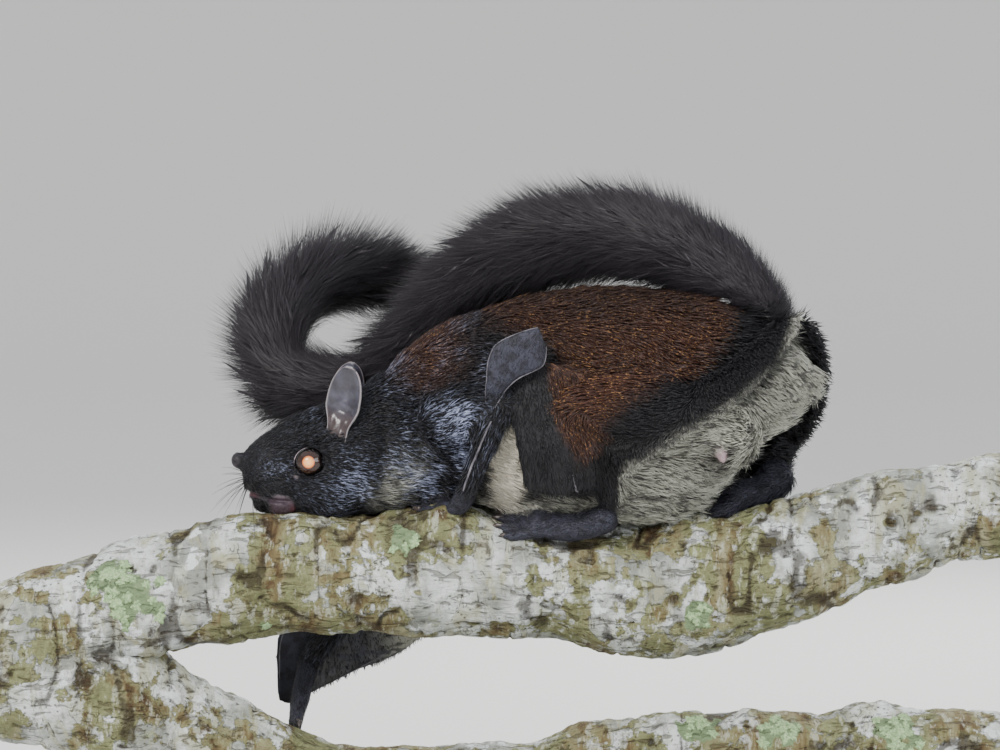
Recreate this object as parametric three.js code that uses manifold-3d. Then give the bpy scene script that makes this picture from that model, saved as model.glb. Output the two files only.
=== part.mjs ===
// Giant flying squirrel crouched on a forked branch, life size, on a plain display stand.
// Millimetres, +Z up. The head points to -X and the left flank faces -Y.
// The origin is the middle of the underside of the stand's base.

import * as THREE from 'three';
import { mergeVertices } from 'three/addons/utils/BufferGeometryUtils.js';
import Module from 'manifold-3d';

const wasm = await Module();
wasm.setup();

const point = (x, y, z) => new THREE.Vector3(x, y, z);
const X_AXIS = point(1, 0, 0);
const Y_AXIS = point(0, 1, 0);
const Z_AXIS = point(0, 0, 1);

// Driving dimensions
const GAP = 0.3;
const CLEAN = 0.1;

const BODY_Y = 2;
const HEAD_END = -75;
const NECK_END = -20;
const TORSO_SPLIT = 88;

const EYE = { x: -114.5, z: 281.5, radius: 9.6, inset: 5.6 };
const LID = { ring: 8.5, tube: 1.7, peak: 1.1 };
const NOSE = { x: -159, z: 281, wide: 5.8, tall: 5.6, deep: 4.8, nostril: 1.7 };
const PAD = { x: -146.5, z: 269, apart: 7.5 };
const CHIN = { x: -141.5, z: 254.5 };
const LIP = { x: -132, z: 254.5, apart: 10.5, radius: 8.4 };
const MOUTH = { front: -152, corner: -127, z: 262, sag: 6, slit: 0.9, depth: 2.2 };

const EAR = { root: [-99, 22, 296], tip: [-90.5, 27, 339], halfWidth: 12.2, cup: 7, wall: 1.5 };

const MEMBRANE = 2.6;
const WING_TIP = { halfWidth: 12.5, wall: 1.8 };

const TOE = { root: 3.4, tip: 2.5, claw: 7.5, clawRoot: 1.5, clawTip: 0.25 };

const TAIL = {
  furRadius: 31,
  lengths: 5,
  sides: 8,
  core: 0.45,
  rootSink: 3,
  rowSpacing: 25,
  locksPerRow: 6,
  locksAtTip: 4,
  lockLength: 50,
  lockWidth: 23,
  lockThickness: 1.7,
};

const BASE = { length: 430, depth: 230, thickness: 16, corner: 18, edge: 2 };
const ROD = { radius: 6, frontX: -118, rearX: 140, y: 18 };

// Finishes
const COLOURS = {
  chestnut: 0x4c2a1b,
  black: 0x17151b,
  tail: 0x262126,
  ear: 0x6f656a,
  eye: 0x3a160c,
  bark: 0xb4b0a0,
  stand: 0x3a3c40,
  steel: 0xa9abad,
};

function finish(colour, roughness, metalness = 0) {
  return new THREE.MeshStandardMaterial({ color: COLOURS[colour], roughness, metalness });
}

const FINISHES = {
  chestnut: finish('chestnut', 0.85),
  black: finish('black', 0.7),
  tail: finish('tail', 0.9),
  ear: finish('ear', 0.55),
  eye: finish('eye', 0.08),
  bark: finish('bark', 0.9),
  stand: finish('stand', 0.5),
  steel: finish('steel', 0.3, 0.9),
};

// Closed bodies and their joining
function closedGeometry(points, faces) {
  const geometry = new THREE.BufferGeometry();
  const flat = points.flatMap((p) => [p.x, p.y, p.z]);
  const volume = faces.reduce((sum, [a, b, c]) => {
    return sum + points[a].dot(point(0, 0, 0).crossVectors(points[b], points[c]));
  }, 0);
  const outward = volume > 0 ? faces : faces.map(([a, b, c]) => [a, c, b]);
  geometry.setAttribute('position', new THREE.Float32BufferAttribute(flat, 3));
  geometry.setIndex(outward.flat());
  return geometry;
}

function solid(geometry) {
  const bare = geometry.clone();
  bare.deleteAttribute('normal');
  bare.deleteAttribute('uv');
  const merged = mergeVertices(bare, 1e-4);
  return new wasm.Manifold(new wasm.Mesh({
    numProp: 3,
    vertProperties: Float32Array.from(merged.attributes.position.array),
    triVerts: Uint32Array.from(merged.index.array),
  }));
}

function join(pieces) {
  return pieces.reduce((whole, piece) => whole.add(piece));
}

function cutClear(piece, neighbours) {
  return neighbours.reduce((rest, neighbour) => rest.subtract(neighbour), piece);
}

function largest(body) {
  const parts = body.decompose();
  return parts.reduce((best, part) => (part.volume() > best.volume() ? part : best));
}

function between(body, planes) {
  return planes.reduce((rest, { at, normal }) => {
    return rest.trimByPlane([normal.x, normal.y, normal.z], at.dot(normal));
  }, body);
}

function geometryOf(body) {
  const mesh = body.getMesh();
  const geometry = new THREE.BufferGeometry();
  geometry.setAttribute('position', new THREE.Float32BufferAttribute(mesh.vertProperties, 3));
  geometry.setIndex(Array.from(mesh.triVerts));
  geometry.computeVertexNormals();
  return geometry;
}

const model = new THREE.Group();

function addNode(name, body, material) {
  const clean = largest(body.setTolerance(CLEAN));
  const mesh = new THREE.Mesh(geometryOf(clean), FINISHES[material]);
  mesh.name = name;
  model.add(mesh);
}

// A loft of oval sections along a smooth curve, closed by a dome at each end
function loft(stations, options = {}) {
  const {
    sides = 12, steps = 3, up = Z_AXIS, swell = 0, dome = 0.7, egg = 0, relief = null, rounded = true,
    upright = false,
  } = options;
  const path = new THREE.CatmullRomCurve3(stations.map((s) => s.at));
  const sizes = new THREE.CatmullRomCurve3(
    stations.map((s) => point(s.wide, s.tall ?? s.wide, 0)), false, 'catmullrom', 0.5,
  );
  const rings = (stations.length - 1) * steps;
  const points = [];

  function addRing(t, slide, scale) {
    const centre = path.getPoint(t);
    const along = upright ? X_AXIS : path.getTangent(t);
    const side = point(0, 0, 0).crossVectors(along, up).normalize();
    const top = point(0, 0, 0).crossVectors(side, along);
    const size = sizes.getPoint(t);
    centre.addScaledVector(along, slide);
    for (let j = 0; j < sides; j += 1) {
      const angle = (2 * Math.PI * j) / sides;
      const bump = relief ? relief(centre, angle) : 0;
      const across = (size.x + swell + bump) * scale * Math.cos(angle) * (1 - egg * Math.sin(angle));
      const upward = (size.y + swell + bump) * scale * Math.sin(angle);
      points.push(centre.clone().addScaledVector(side, across).addScaledVector(top, upward));
    }
  }

  function domeDepth(station) {
    return dome * Math.min(station.wide, station.tall ?? station.wide) + swell;
  }

  const firstDepth = domeDepth(stations[0]);
  const lastDepth = domeDepth(stations[stations.length - 1]);
  if (rounded) {
    addRing(0, -firstDepth * 0.7, 0.72);
  }
  for (let i = 0; i <= rings; i += 1) {
    addRing(i / rings, 0, 1);
  }
  if (rounded) {
    addRing(1, lastDepth * 0.7, 0.72);
  }
  const firstPole = points.length;
  points.push(path.getPoint(0).addScaledVector(path.getTangent(0), -firstDepth));
  points.push(path.getPoint(1).addScaledVector(path.getTangent(1), lastDepth));

  const faces = [];
  const ringCount = rings + (rounded ? 3 : 1);
  for (let i = 0; i < ringCount - 1; i += 1) {
    for (let j = 0; j < sides; j += 1) {
      const a = i * sides + j;
      const b = i * sides + ((j + 1) % sides);
      faces.push([a, b, a + sides], [b, b + sides, a + sides]);
    }
  }
  for (let j = 0; j < sides; j += 1) {
    const next = (j + 1) % sides;
    const last = (ringCount - 1) * sides;
    faces.push([firstPole, next, j], [firstPole + 1, last + j, last + next]);
  }
  return solid(closedGeometry(points, faces));
}

function station(at, wide, tall = wide) {
  return { at, wide, tall };
}

function ellipsoid(centre, radii, options = {}) {
  const { swell = 0, detail = 9 } = options;
  const geometry = new THREE.SphereGeometry(1, detail, Math.round(detail * 0.7));
  geometry.scale(radii.x + swell, radii.y + swell, radii.z + swell);
  geometry.translate(centre.x, centre.y, centre.z);
  return solid(geometry);
}

// A thin sheet over the unit square, thick along its own normal, split alike on both faces
function sheet(surface, options = {}) {
  const { across = 8, along = 8, thickness = () => MEMBRANE, swell = 0 } = options;
  const points = [];
  const reachU = swell / 40;
  const reachV = swell / 12;
  const step = 1e-3;
  for (const half of [0.5, -0.5]) {
    for (let i = 0; i <= along; i += 1) {
      for (let j = 0; j <= across; j += 1) {
        const u = THREE.MathUtils.lerp(-reachU, 1 + reachU, i / along);
        const v = THREE.MathUtils.lerp(-reachV, 1 + reachV, j / across);
        const here = surface(u, v);
        const alongU = surface(u + step, v).sub(here);
        const alongV = surface(u, v + step).sub(here);
        const normal = alongU.cross(alongV).normalize();
        const depth = thickness(u, v) + 2 * swell;
        points.push(here.addScaledVector(normal, half * depth));
      }
    }
  }
  const row = across + 1;
  const layer = row * (along + 1);
  const faces = [];
  for (let i = 0; i < along; i += 1) {
    for (let j = 0; j < across; j += 1) {
      const a = i * row + j;
      const b = a + 1;
      const c = a + row;
      const d = c + 1;
      faces.push([a, c, b], [b, c, d]);
      faces.push([layer + a, layer + b, layer + c], [layer + b, layer + d, layer + c]);
    }
  }
  const wall = (p, q) => faces.push([p, q, p + layer], [q, q + layer, p + layer]);
  for (let j = 0; j < across; j += 1) {
    wall(j, j + 1);
    wall(along * row + j + 1, along * row + j);
  }
  for (let i = 0; i < along; i += 1) {
    wall((i + 1) * row, i * row);
    wall(i * row + across, (i + 1) * row + across);
  }
  return solid(closedGeometry(points, faces));
}

function curve(...points) {
  return new THREE.CatmullRomCurve3(points);
}

// Perch: two limbs that part at a fork on the left
function makeLimb(stations, knobs, seed) {
  const path = new THREE.CatmullRomCurve3(stations.map((s) => s.at));
  const samples = path.getPoints(160);
  const relief = (centre, angle) => {
    const ripple = Math.sin(centre.x * 0.11 + seed) * 0.9 + Math.sin(centre.x * 0.047 + 2 * angle) * 1.3
      + Math.sin(3 * angle + seed + centre.x * 0.02) * 0.8;
    return knobs.reduce((sum, knob) => {
      const dx = (centre.x - knob.x) / knob.spread;
      const turn = Math.atan2(Math.sin(angle - knob.angle), Math.cos(angle - knob.angle));
      const dy = (turn * 38) / knob.spread;
      return sum + knob.height * Math.exp(-dx * dx - dy * dy);
    }, ripple);
  };
  return { stations, samples, relief };
}

function nearestOn(limb, p) {
  let best = 0;
  limb.samples.forEach((s, i) => {
    if (s.distanceToSquared(p) < limb.samples[best].distanceToSquared(p)) {
      best = i;
    }
  });
  const t = best / (limb.samples.length - 1);
  const place = t * (limb.stations.length - 1);
  const i = Math.min(Math.floor(place), limb.stations.length - 2);
  const radius = THREE.MathUtils.lerp(limb.stations[i].wide, limb.stations[i + 1].wide, place - i);
  return { centre: limb.samples[best], radius };
}

function laidOn(limb, p, lift) {
  const { centre, radius } = nearestOn(limb, p);
  const outward = p.clone().sub(centre).normalize();
  return centre.clone().addScaledVector(outward, radius + lift);
}

const UPPER_LIMB = makeLimb([
  station(point(-302, -2, 160), 44),
  station(point(-254, -3, 184), 39),
  station(point(-212, -4, 198), 36.5),
  station(point(-151, -4, 210), 37),
  station(point(-91, -4, 213), 37.5),
  station(point(-30, -4, 214), 38.5),
  station(point(36, -4, 208), 37),
  station(point(91, -4, 202), 39),
  station(point(151, -4, 212), 40),
  station(point(212, -2, 234), 34.5),
  station(point(267, 0, 249), 31.5),
  station(point(312, 2, 255), 33),
], [
  { x: -32, angle: 0.95, height: 10, spread: 19 },
  { x: -128, angle: 1.2, height: 3, spread: 20 },
  { x: 121, angle: 1.7, height: 6, spread: 18 },
  { x: 165, angle: 0.1, height: 7, spread: 22 },
  { x: 100, angle: -0.9, height: 5, spread: 20 },
  { x: -250, angle: 2.4, height: 6, spread: 18 },
], 0.4);

const LOWER_LIMB = makeLimb([
  station(point(-318, 2, 162), 47),
  station(point(-270, 3, 150), 47),
  station(point(-225, 6, 126), 44),
  station(point(-182, 11, 100), 40),
  station(point(-121, 18, 79), 34.5),
  station(point(-60, 20, 72), 32.5),
  station(point(0, 20, 74), 32),
  station(point(60, 19, 84), 32),
  station(point(121, 17, 93), 32.5),
  station(point(212, 14, 95), 33),
  station(point(312, 12, 95), 33),
], [
  { x: -150, angle: 0.9, height: 5, spread: 16 },
  { x: 60, angle: 1.5, height: 5, spread: 20 },
  { x: 150, angle: 1.2, height: 4, spread: 16 },
  { x: 230, angle: 1.7, height: 5, spread: 18 },
  { x: -270, angle: 1.6, height: 7, spread: 24 },
], 2.1);

const PERCH_CUTS = { left: -310, right: 306 };

function limbBody(limb, swell = 0) {
  const long = loft(limb.stations, { sides: 12, steps: 2, relief: limb.relief, swell, dome: 0.3 });
  return between(long, [
    { at: point(PERCH_CUTS.left - swell, 0, 0), normal: X_AXIS },
    { at: point(PERCH_CUTS.right + swell, 0, 0), normal: point(-1, 0, 0) },
  ]);
}

const upperLimb = limbBody(UPPER_LIMB);
const upperLimbRoom = limbBody(UPPER_LIMB, GAP);
const lowerLimbRoom = limbBody(LOWER_LIMB, GAP);
const perchRoom = join([upperLimbRoom, lowerLimbRoom]);

// Display stand: a flat plate and two short rods
function plateOutline(inset) {
  const w = BASE.length / 2 - inset;
  const h = BASE.depth / 2 - inset;
  const r = BASE.corner - inset;
  const shape = new THREE.Shape();
  shape.absarc(w - r, h - r, r, 0, Math.PI / 2);
  shape.absarc(-w + r, h - r, r, Math.PI / 2, Math.PI);
  shape.absarc(-w + r, -h + r, r, Math.PI, 1.5 * Math.PI);
  shape.absarc(w - r, -h + r, r, 1.5 * Math.PI, 2 * Math.PI);
  shape.closePath();
  return shape;
}

function standBase() {
  const geometry = new THREE.ExtrudeGeometry(plateOutline(BASE.edge), {
    depth: BASE.thickness - BASE.edge,
    bevelEnabled: true,
    bevelThickness: BASE.edge,
    bevelSize: BASE.edge,
    bevelSegments: 1,
    curveSegments: 3,
  });
  const plate = solid(geometry);
  return between(plate, [{ at: point(0, 0, 0), normal: Z_AXIS }]);
}

function rod(x, y, top) {
  const bottom = BASE.thickness + GAP;
  const geometry = new THREE.CylinderGeometry(ROD.radius, ROD.radius, top - bottom, 16);
  geometry.rotateX(Math.PI / 2);
  geometry.translate(x, y, (top + bottom) / 2);
  return cutClear(solid(geometry), [lowerLimbRoom]);
}

addNode('stand_base', standBase(), 'stand');
addNode('stand_rod_front', rod(ROD.frontX, ROD.y, 60), 'steel');
addNode('stand_rod_rear', rod(ROD.rearX, ROD.y, 80), 'steel');
addNode('perch_upper_limb', upperLimb, 'bark');
addNode('perch_lower_limb', cutClear(limbBody(LOWER_LIMB), [upperLimbRoom]), 'bark');

// Head, neck and torso: one loft along the spine
function trunkSection(x, top, under, halfWidth) {
  return station(point(x, BODY_Y, (top + under) / 2), halfWidth, (top - under) / 2);
}

const TRUNK_SECTIONS = [
  trunkSection(-153, 289, 262, 8),
  trunkSection(-149, 293, 255, 12),
  trunkSection(-144, 297, 250, 15),
  trunkSection(-136, 302, 246.5, 18.5),
  trunkSection(-125, 309, 245.5, 22),
  trunkSection(-112, 314.5, 245.5, 26),
  trunkSection(-98, 319, 246.5, 28),
  trunkSection(-84, 327, 247.5, 28),
  trunkSection(-70, 340, 248.5, 28.5),
  trunkSection(-55, 354, 249, 31),
  trunkSection(-36, 366, 249, 35),
  trunkSection(-12, 377, 247, 42),
  trunkSection(24, 387, 242, 50),
  trunkSection(73, 391, 237, 55),
  trunkSection(116, 386, 243, 55),
  trunkSection(136, 380, 265, 52),
  trunkSection(155, 372, 286, 45),
  trunkSection(174, 360, 299, 34),
  trunkSection(187, 345, 312, 20),
];

function trunk(swell = 0) {
  return loft(TRUNK_SECTIONS, { sides: 18, steps: 2, egg: 0.12, swell, dome: 0.5, upright: true });
}

function eyeBall(side, swell = 0) {
  const y = BODY_Y + side * (26 - EYE.inset);
  const r = EYE.radius;
  return ellipsoid(point(EYE.x, y, EYE.z), point(r, r, r), { swell, detail: 11 });
}

function lids(side) {
  const ring = new THREE.TorusGeometry(LID.ring, LID.tube, 4, 14);
  ring.rotateX(Math.PI / 2);
  const spots = ring.attributes.position;
  for (let i = 0; i < spots.count; i += 1) {
    const corner = Math.abs(spots.getX(i)) / LID.ring;
    spots.setX(i, spots.getX(i) * (1 + 0.08 * corner ** 3 * LID.peak));
  }
  ring.rotateY(-0.35);
  ring.translate(EYE.x, BODY_Y + side * 25.2, EYE.z);
  return solid(ring);
}

function cheek(side, swell = 0) {
  return ellipsoid(point(-104, BODY_Y + side * 12, 266), point(25, 18, 20), { detail: 10, swell });
}

function muzzle() {
  const nose = ellipsoid(point(NOSE.x, BODY_Y, NOSE.z), point(NOSE.deep, NOSE.wide, NOSE.tall));
  const pads = [-1, 1].map((side) => {
    return ellipsoid(point(PAD.x, BODY_Y + side * PAD.apart, PAD.z), point(7.5, 8, 7.2));
  });
  const lips = [-1, 1].map((side) => {
    const r = LIP.radius;
    return ellipsoid(point(LIP.x, BODY_Y + side * LIP.apart, LIP.z), point(r, r, r * 0.92), { detail: 7 });
  });
  const chin = ellipsoid(point(CHIN.x, BODY_Y, CHIN.z), point(9, 8.5, 6));
  return join([nose, ...pads, ...lips, chin, cheek(-1), cheek(1)]);
}

function nostrils() {
  return join([-1, 1].map((side) => {
    const r = NOSE.nostril;
    const at = point(NOSE.x - 2.4, BODY_Y + side * 4, NOSE.z - 1);
    return ellipsoid(at, point(r * 1.5, r * 0.9, r), { detail: 6 });
  }));
}

// The line of the mouth: a slit that runs back from the lips along both cheeks
function mouthSlit() {
  const slits = [-1, 1].map((side) => {
    return sheet((u, v) => {
      const x = THREE.MathUtils.lerp(MOUTH.front - 6, MOUTH.corner, u);
      const z = MOUTH.z - MOUTH.sag * Math.sin((u * Math.PI) / 2) + 1.5 * u;
      const halfWidth = THREE.MathUtils.lerp(7, 20, u);
      return point(x, BODY_Y + side * (halfWidth + 8 - v * (8 + MOUTH.depth * 3)), z);
    }, { thickness: () => MOUTH.slit, across: 1, along: 4 });
  });
  return join(slits);
}

const wholeTrunk = trunk();
const trunkRoom = trunk(GAP);

function headBody() {
  const skull = join([wholeTrunk, muzzle(), lids(-1), lids(1)]);
  const front = between(skull, [{ at: point(HEAD_END - GAP / 2, 0, 0), normal: point(-1, 0, 0) }]);
  return cutClear(front, [eyeBall(-1, GAP), eyeBall(1, GAP), nostrils(), mouthSlit(), perchRoom]);
}

function trunkPart(from, to) {
  const part = between(wholeTrunk, [
    { at: point(from + GAP / 2, 0, 0), normal: X_AXIS },
    { at: point(to - GAP / 2, 0, 0), normal: point(-1, 0, 0) },
  ]);
  return cutClear(part, [perchRoom]);
}

addNode('eye_left', eyeBall(-1), 'eye');
addNode('eye_right', eyeBall(1), 'eye');
addNode('head', headBody(), 'black');
addNode('neck', trunkPart(HEAD_END, NECK_END), 'black');
addNode('torso_front', trunkPart(NECK_END, TORSO_SPLIT), 'chestnut');
addNode('torso_rear', trunkPart(TORSO_SPLIT, 400), 'chestnut');

// What each next piece is cut clear of: the room round all pieces that are already in place
const rooms = [perchRoom, trunkRoom, cheek(-1, GAP), cheek(1, GAP)];

// Ears: upright oval cups, open outward and a little forward
function earCup(side, swell = 0) {
  const root = point(EAR.root[0], BODY_Y + side * EAR.root[1], EAR.root[2]);
  const tip = point(EAR.tip[0], BODY_Y + side * EAR.tip[1], EAR.tip[2]);
  const outward = point(-0.45, side, 0.1).normalize();
  const rise = tip.clone().sub(root);
  const across = point(0, 0, 0).crossVectors(rise, outward).normalize();
  return sheet((u, v) => {
    const shape = Math.sqrt(Math.max(1 - (Math.max(u - 0.56, 0) / 0.47) ** 2, 0.03));
    const width = EAR.halfWidth * Math.min(0.5 + u * 1.05, 1) * shape;
    const w = 2 * v - 1;
    const hollow = -EAR.cup * (1 - w * w) * (1 - 0.55 * u) * Math.min(width / EAR.halfWidth, 1);
    return root.clone().addScaledVector(rise, u).addScaledVector(across, w * width)
      .addScaledVector(outward, hollow);
  }, { thickness: () => EAR.wall, across: 4, along: 7, swell });
}

for (const [name, side] of [['ear_left', -1], ['ear_right', 1]]) {
  addNode(name, cutClear(earCup(side), rooms), 'ear');
  rooms.push(earCup(side, GAP));
}

// Limbs
const SHOULDER_LEFT = point(-36, -20, 306);
const ELBOW_LEFT = point(0, -49, 320);
const WRIST_LEFT = point(-19, -43, 268);

const SHOULDER_RIGHT = point(-36, 22, 296);
const ELBOW_RIGHT = point(-72, 58, 222);
const WRIST_RIGHT = point(-119, 57, 152);

const HIP_LEFT = point(132, -18, 306);
const KNEE_LEFT = point(46, -54, 318);
const ANKLE_LEFT = point(66, -40, 264);

const HIP_RIGHT = point(130, 22, 304);
const KNEE_RIGHT = point(80, 62, 288);
const ANKLE_RIGHT = point(168, 30, 281);

function foreArm(shoulder, elbow, wrist, swell = 0) {
  const middle = shoulder.clone().lerp(elbow, 0.55);
  const halfway = elbow.clone().lerp(wrist, 0.5);
  const upper = loft([
    station(shoulder, 21),
    station(middle, 18),
    station(elbow, 11),
  ], { swell, steps: 2, sides: 10 });
  const lower = loft([
    station(elbow, 11),
    station(halfway, 9, 8.5),
    station(wrist, 7, 6.5),
  ], { up: Y_AXIS, swell, sides: 9, steps: 2 });
  return join([upper, lower]);
}

function hindLeg(hip, knee, ankle, swell = 0) {
  const thighMiddle = hip.clone().lerp(knee, 0.5).add(point(0, Math.sign(knee.y) * 5, 0));
  const shankMiddle = knee.clone().lerp(ankle, 0.45);
  const thigh = loft([station(hip, 36), station(thighMiddle, 28), station(knee, 17)], { swell, steps: 2 });
  const shank = loft([
    station(knee, 16),
    station(shankMiddle, 14),
    station(ankle, 10.5),
  ], { up: Y_AXIS, swell, sides: 9, steps: 2 });
  return join([thigh, shank]);
}

// A paw lies on its limb: a palm, then toes that fan out and end in curved claws
function paw(options, swell = 0) {
  const { limb, heel, ball, reach, toes, spread, palm, lift } = options;
  const forward = ball.clone().sub(heel).normalize();
  const { centre } = nearestOn(limb, ball);
  const outward = ball.clone().sub(centre).normalize();
  const across = point(0, 0, 0).crossVectors(forward, outward).normalize();
  const middle = laidOn(limb, heel.clone().lerp(ball, 0.5), lift);
  const pieces = [loft([
    station(heel, palm * 0.72, palm * 0.72),
    station(middle, palm * 0.9, palm * 0.66),
    station(laidOn(limb, ball, lift), palm, palm * 0.6),
  ], { up: outward, swell, sides: 8, steps: 2 })];
  for (let i = 0; i < toes; i += 1) {
    const fan = i - (toes - 1) / 2;
    const length = reach * (1 - 0.07 * fan * fan);
    const root = ball.clone().addScaledVector(across, fan * spread * 0.8).addScaledVector(forward, -5);
    const knuckle = root.clone().addScaledVector(forward, length * 0.55)
      .addScaledVector(across, fan * spread * 0.3);
    const end = root.clone().addScaledVector(forward, length).addScaledVector(across, fan * spread * 0.5);
    const onRoot = laidOn(limb, root, lift * 0.8);
    const onKnuckle = laidOn(limb, knuckle, TOE.root + 1.4);
    const onEnd = laidOn(limb, end, TOE.tip);
    const clawTip = laidOn(limb, end.clone().addScaledVector(forward, TOE.claw), 0.2);
    const clawRoot = onEnd.clone().addScaledVector(forward, 1.2).addScaledVector(outward, 0.8);
    const clawTop = onEnd.clone().lerp(clawTip, 0.6).addScaledVector(outward, 1.6);
    pieces.push(loft([
      station(onRoot, TOE.root),
      station(onKnuckle, TOE.root * 0.95),
      station(onEnd, TOE.tip),
      station(clawRoot, TOE.clawRoot, TOE.clawRoot * 1.3),
      station(clawTop, TOE.clawRoot * 0.7, TOE.clawRoot),
      station(clawTip, TOE.clawTip),
    ], { up: outward, swell, sides: 5, steps: 1, rounded: false }));
  }
  return join(pieces);
}

const HAND_LEFT = {
  limb: UPPER_LIMB, heel: WRIST_LEFT, ball: point(-34, -23, 260), reach: 22, toes: 4, spread: 5.2,
  palm: 9, lift: 6,
};
const HAND_RIGHT = {
  limb: LOWER_LIMB, heel: WRIST_RIGHT, ball: point(-124, 40, 122), reach: 26, toes: 4, spread: 5.4,
  palm: 9, lift: 6,
};
const FOOT_LEFT = {
  limb: UPPER_LIMB, heel: point(64, -37, 249), ball: point(22, -27, 246), reach: 27, toes: 5, spread: 5.2,
  palm: 12, lift: 7,
};
const FOOT_RIGHT = {
  limb: UPPER_LIMB, heel: point(170, 16, 270), ball: point(141, 4, 258), reach: 27, toes: 5, spread: 5.2,
  palm: 13, lift: 7.5,
};

const LIMBS = [
  { name: 'forelimb_left', make: (s) => foreArm(SHOULDER_LEFT, ELBOW_LEFT, WRIST_LEFT, s) },
  { name: 'forelimb_right', make: (s) => foreArm(SHOULDER_RIGHT, ELBOW_RIGHT, WRIST_RIGHT, s) },
  { name: 'hindlimb_left', make: (s) => hindLeg(HIP_LEFT, KNEE_LEFT, ANKLE_LEFT, s) },
  { name: 'hindlimb_right', make: (s) => hindLeg(HIP_RIGHT, KNEE_RIGHT, ANKLE_RIGHT, s) },
  { name: 'hand_left', make: (s) => paw(HAND_LEFT, s) },
  { name: 'hand_right', make: (s) => paw(HAND_RIGHT, s) },
  { name: 'foot_left', make: (s) => paw(FOOT_LEFT, s) },
  { name: 'foot_right', make: (s) => paw(FOOT_RIGHT, s) },
];

for (const { name, make } of LIMBS) {
  addNode(name, cutClear(make(0), rooms), 'black');
  rooms.push(make(GAP));
}

// Gliding membranes
function wingTip(root, tip, outward, swell = 0) {
  const rise = tip.clone().sub(root);
  const across = point(0, 0, 0).crossVectors(rise, outward).normalize();
  return sheet((u, v) => {
    const round = Math.sqrt(Math.max(1 - (Math.max(u - 0.72, 0) / 0.3) ** 2, 0.05));
    const width = WING_TIP.halfWidth * (0.35 + 0.65 * Math.min(u * 1.6, 1)) * round;
    const w = 2 * v - 1;
    return root.clone().addScaledVector(rise, u)
      .addScaledVector(across, w * width + 3 * Math.sin(u * Math.PI))
      .addScaledVector(outward, 2.5 * (1 - w * w));
  }, { thickness: () => WING_TIP.wall, across: 4, along: 7, swell });
}

function alongEdge(edge, u) {
  const inside = THREE.MathUtils.clamp(u, 0, 1);
  return edge.getPoint(inside).addScaledVector(edge.getTangent(inside), (u - inside) * edge.getLength());
}

// A membrane stretched between two edges, with a soft billow and, if any, folds towards the free edge
function ruled(rootEdge, freeEdge, billow, outward, folds = 0) {
  return (u, v) => {
    const hang = Math.sin(Math.PI * v) * billow + folds * v * Math.sin(u * 4 * Math.PI);
    return alongEdge(rootEdge, u).lerp(alongEdge(freeEdge, u), v).addScaledVector(outward, hang);
  };
}

const NEAR = point(0, -1, 0);
const FAR = Y_AXIS;

const PATAGIUM_LEFT = ruled(
  curve(point(2, -44, 338), point(24, -50, 344), point(52, -56, 336)),
  curve(point(15, -51, 268), point(32, -57, 264), point(58, -55, 268)),
  7, NEAR, 2.4,
);
const PATAGIUM_RIGHT = ruled(
  curve(point(-44, 44, 286), point(20, 52, 296), point(84, 56, 292), point(140, 50, 286)),
  curve(point(-120, 58, 131), point(-42, 59, 171), point(52, 58, 214), point(148, 46, 270)),
  9, FAR, 1.6,
);
const UROPATAGIUM_LEFT = ruled(
  curve(point(62, -50, 304), point(84, -46, 318), point(112, -44, 334), point(142, -32, 352),
    point(160, -20, 362), point(172, -4, 366)),
  curve(point(70, -58, 276), point(92, -62, 291), point(120, -63, 308), point(150, -54, 330),
    point(168, -38, 350), point(182, -12, 369)),
  4, NEAR, 0,
);
const UROPATAGIUM_RIGHT = ruled(
  curve(point(166, 12, 362), point(174, 22, 338), point(168, 28, 310), point(156, 36, 288)),
  curve(point(188, 12, 366), point(198, 20, 338), point(192, 30, 304), point(170, 42, 276)),
  3, FAR, 0,
);

// The wing tip of the left wrist, folded up: a flap that widens from the wrist to a blunt end
const WINGTIP_LEFT = ruled(
  curve(point(-8, -55, 317), point(-8, -57, 337), point(-4, -59, 353), point(10, -60, 361),
    point(23, -60, 365)),
  curve(point(-4, -55, 315), point(4, -57, 328), point(14, -59, 336), point(26, -60, 341),
    point(28, -60, 353)),
  2, NEAR,
);

const MEMBRANES = [
  {
    name: 'wingtip_left',
    make: (s) => sheet(WINGTIP_LEFT, { swell: s, along: 8, across: 3, thickness: () => WING_TIP.wall }),
  },
  {
    name: 'wingtip_right',
    make: (s) => wingTip(point(-133, 60, 126), point(-117, 65, 188), FAR, s),
  },
  { name: 'patagium_left', make: (s) => sheet(PATAGIUM_LEFT, { swell: s, along: 9, across: 3 }) },
  { name: 'patagium_right', make: (s) => sheet(PATAGIUM_RIGHT, { swell: s, along: 9, across: 4 }) },
  {
    name: 'uropatagium_left',
    make: (s) => sheet(UROPATAGIUM_LEFT, { swell: s, along: 8, across: 3, thickness: () => 4 }),
  },
  {
    name: 'uropatagium_right',
    make: (s) => sheet(UROPATAGIUM_RIGHT, { swell: s, along: 7, across: 3, thickness: () => 4 }),
  },
];

for (const { name, make } of MEMBRANES) {
  addNode(name, cutClear(make(0), rooms), 'black');
  rooms.push(make(GAP));
}

// Tail: forward over the back, down behind the nape, and round in a loop behind the head
const TAIL_ROUTE = curve(
  point(170, 2, 350),
  point(158, 5, 374),
  point(143, 9, 389),
  point(120, 13, 403),
  point(92, 17, 414),
  point(58, 23, 418),
  point(18, 30, 411),
  point(-15, 44, 390),
  point(-45, 54, 355),
  point(-70, 61, 328),
  point(-103, 63, 318),
  point(-128, 67, 325),
  point(-139, 75, 347),
  point(-133, 87, 371),
  point(-112, 99, 387),
  point(-88, 107, 392),
  point(-61, 111, 392),
  point(-38, 113, 389),
);

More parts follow.
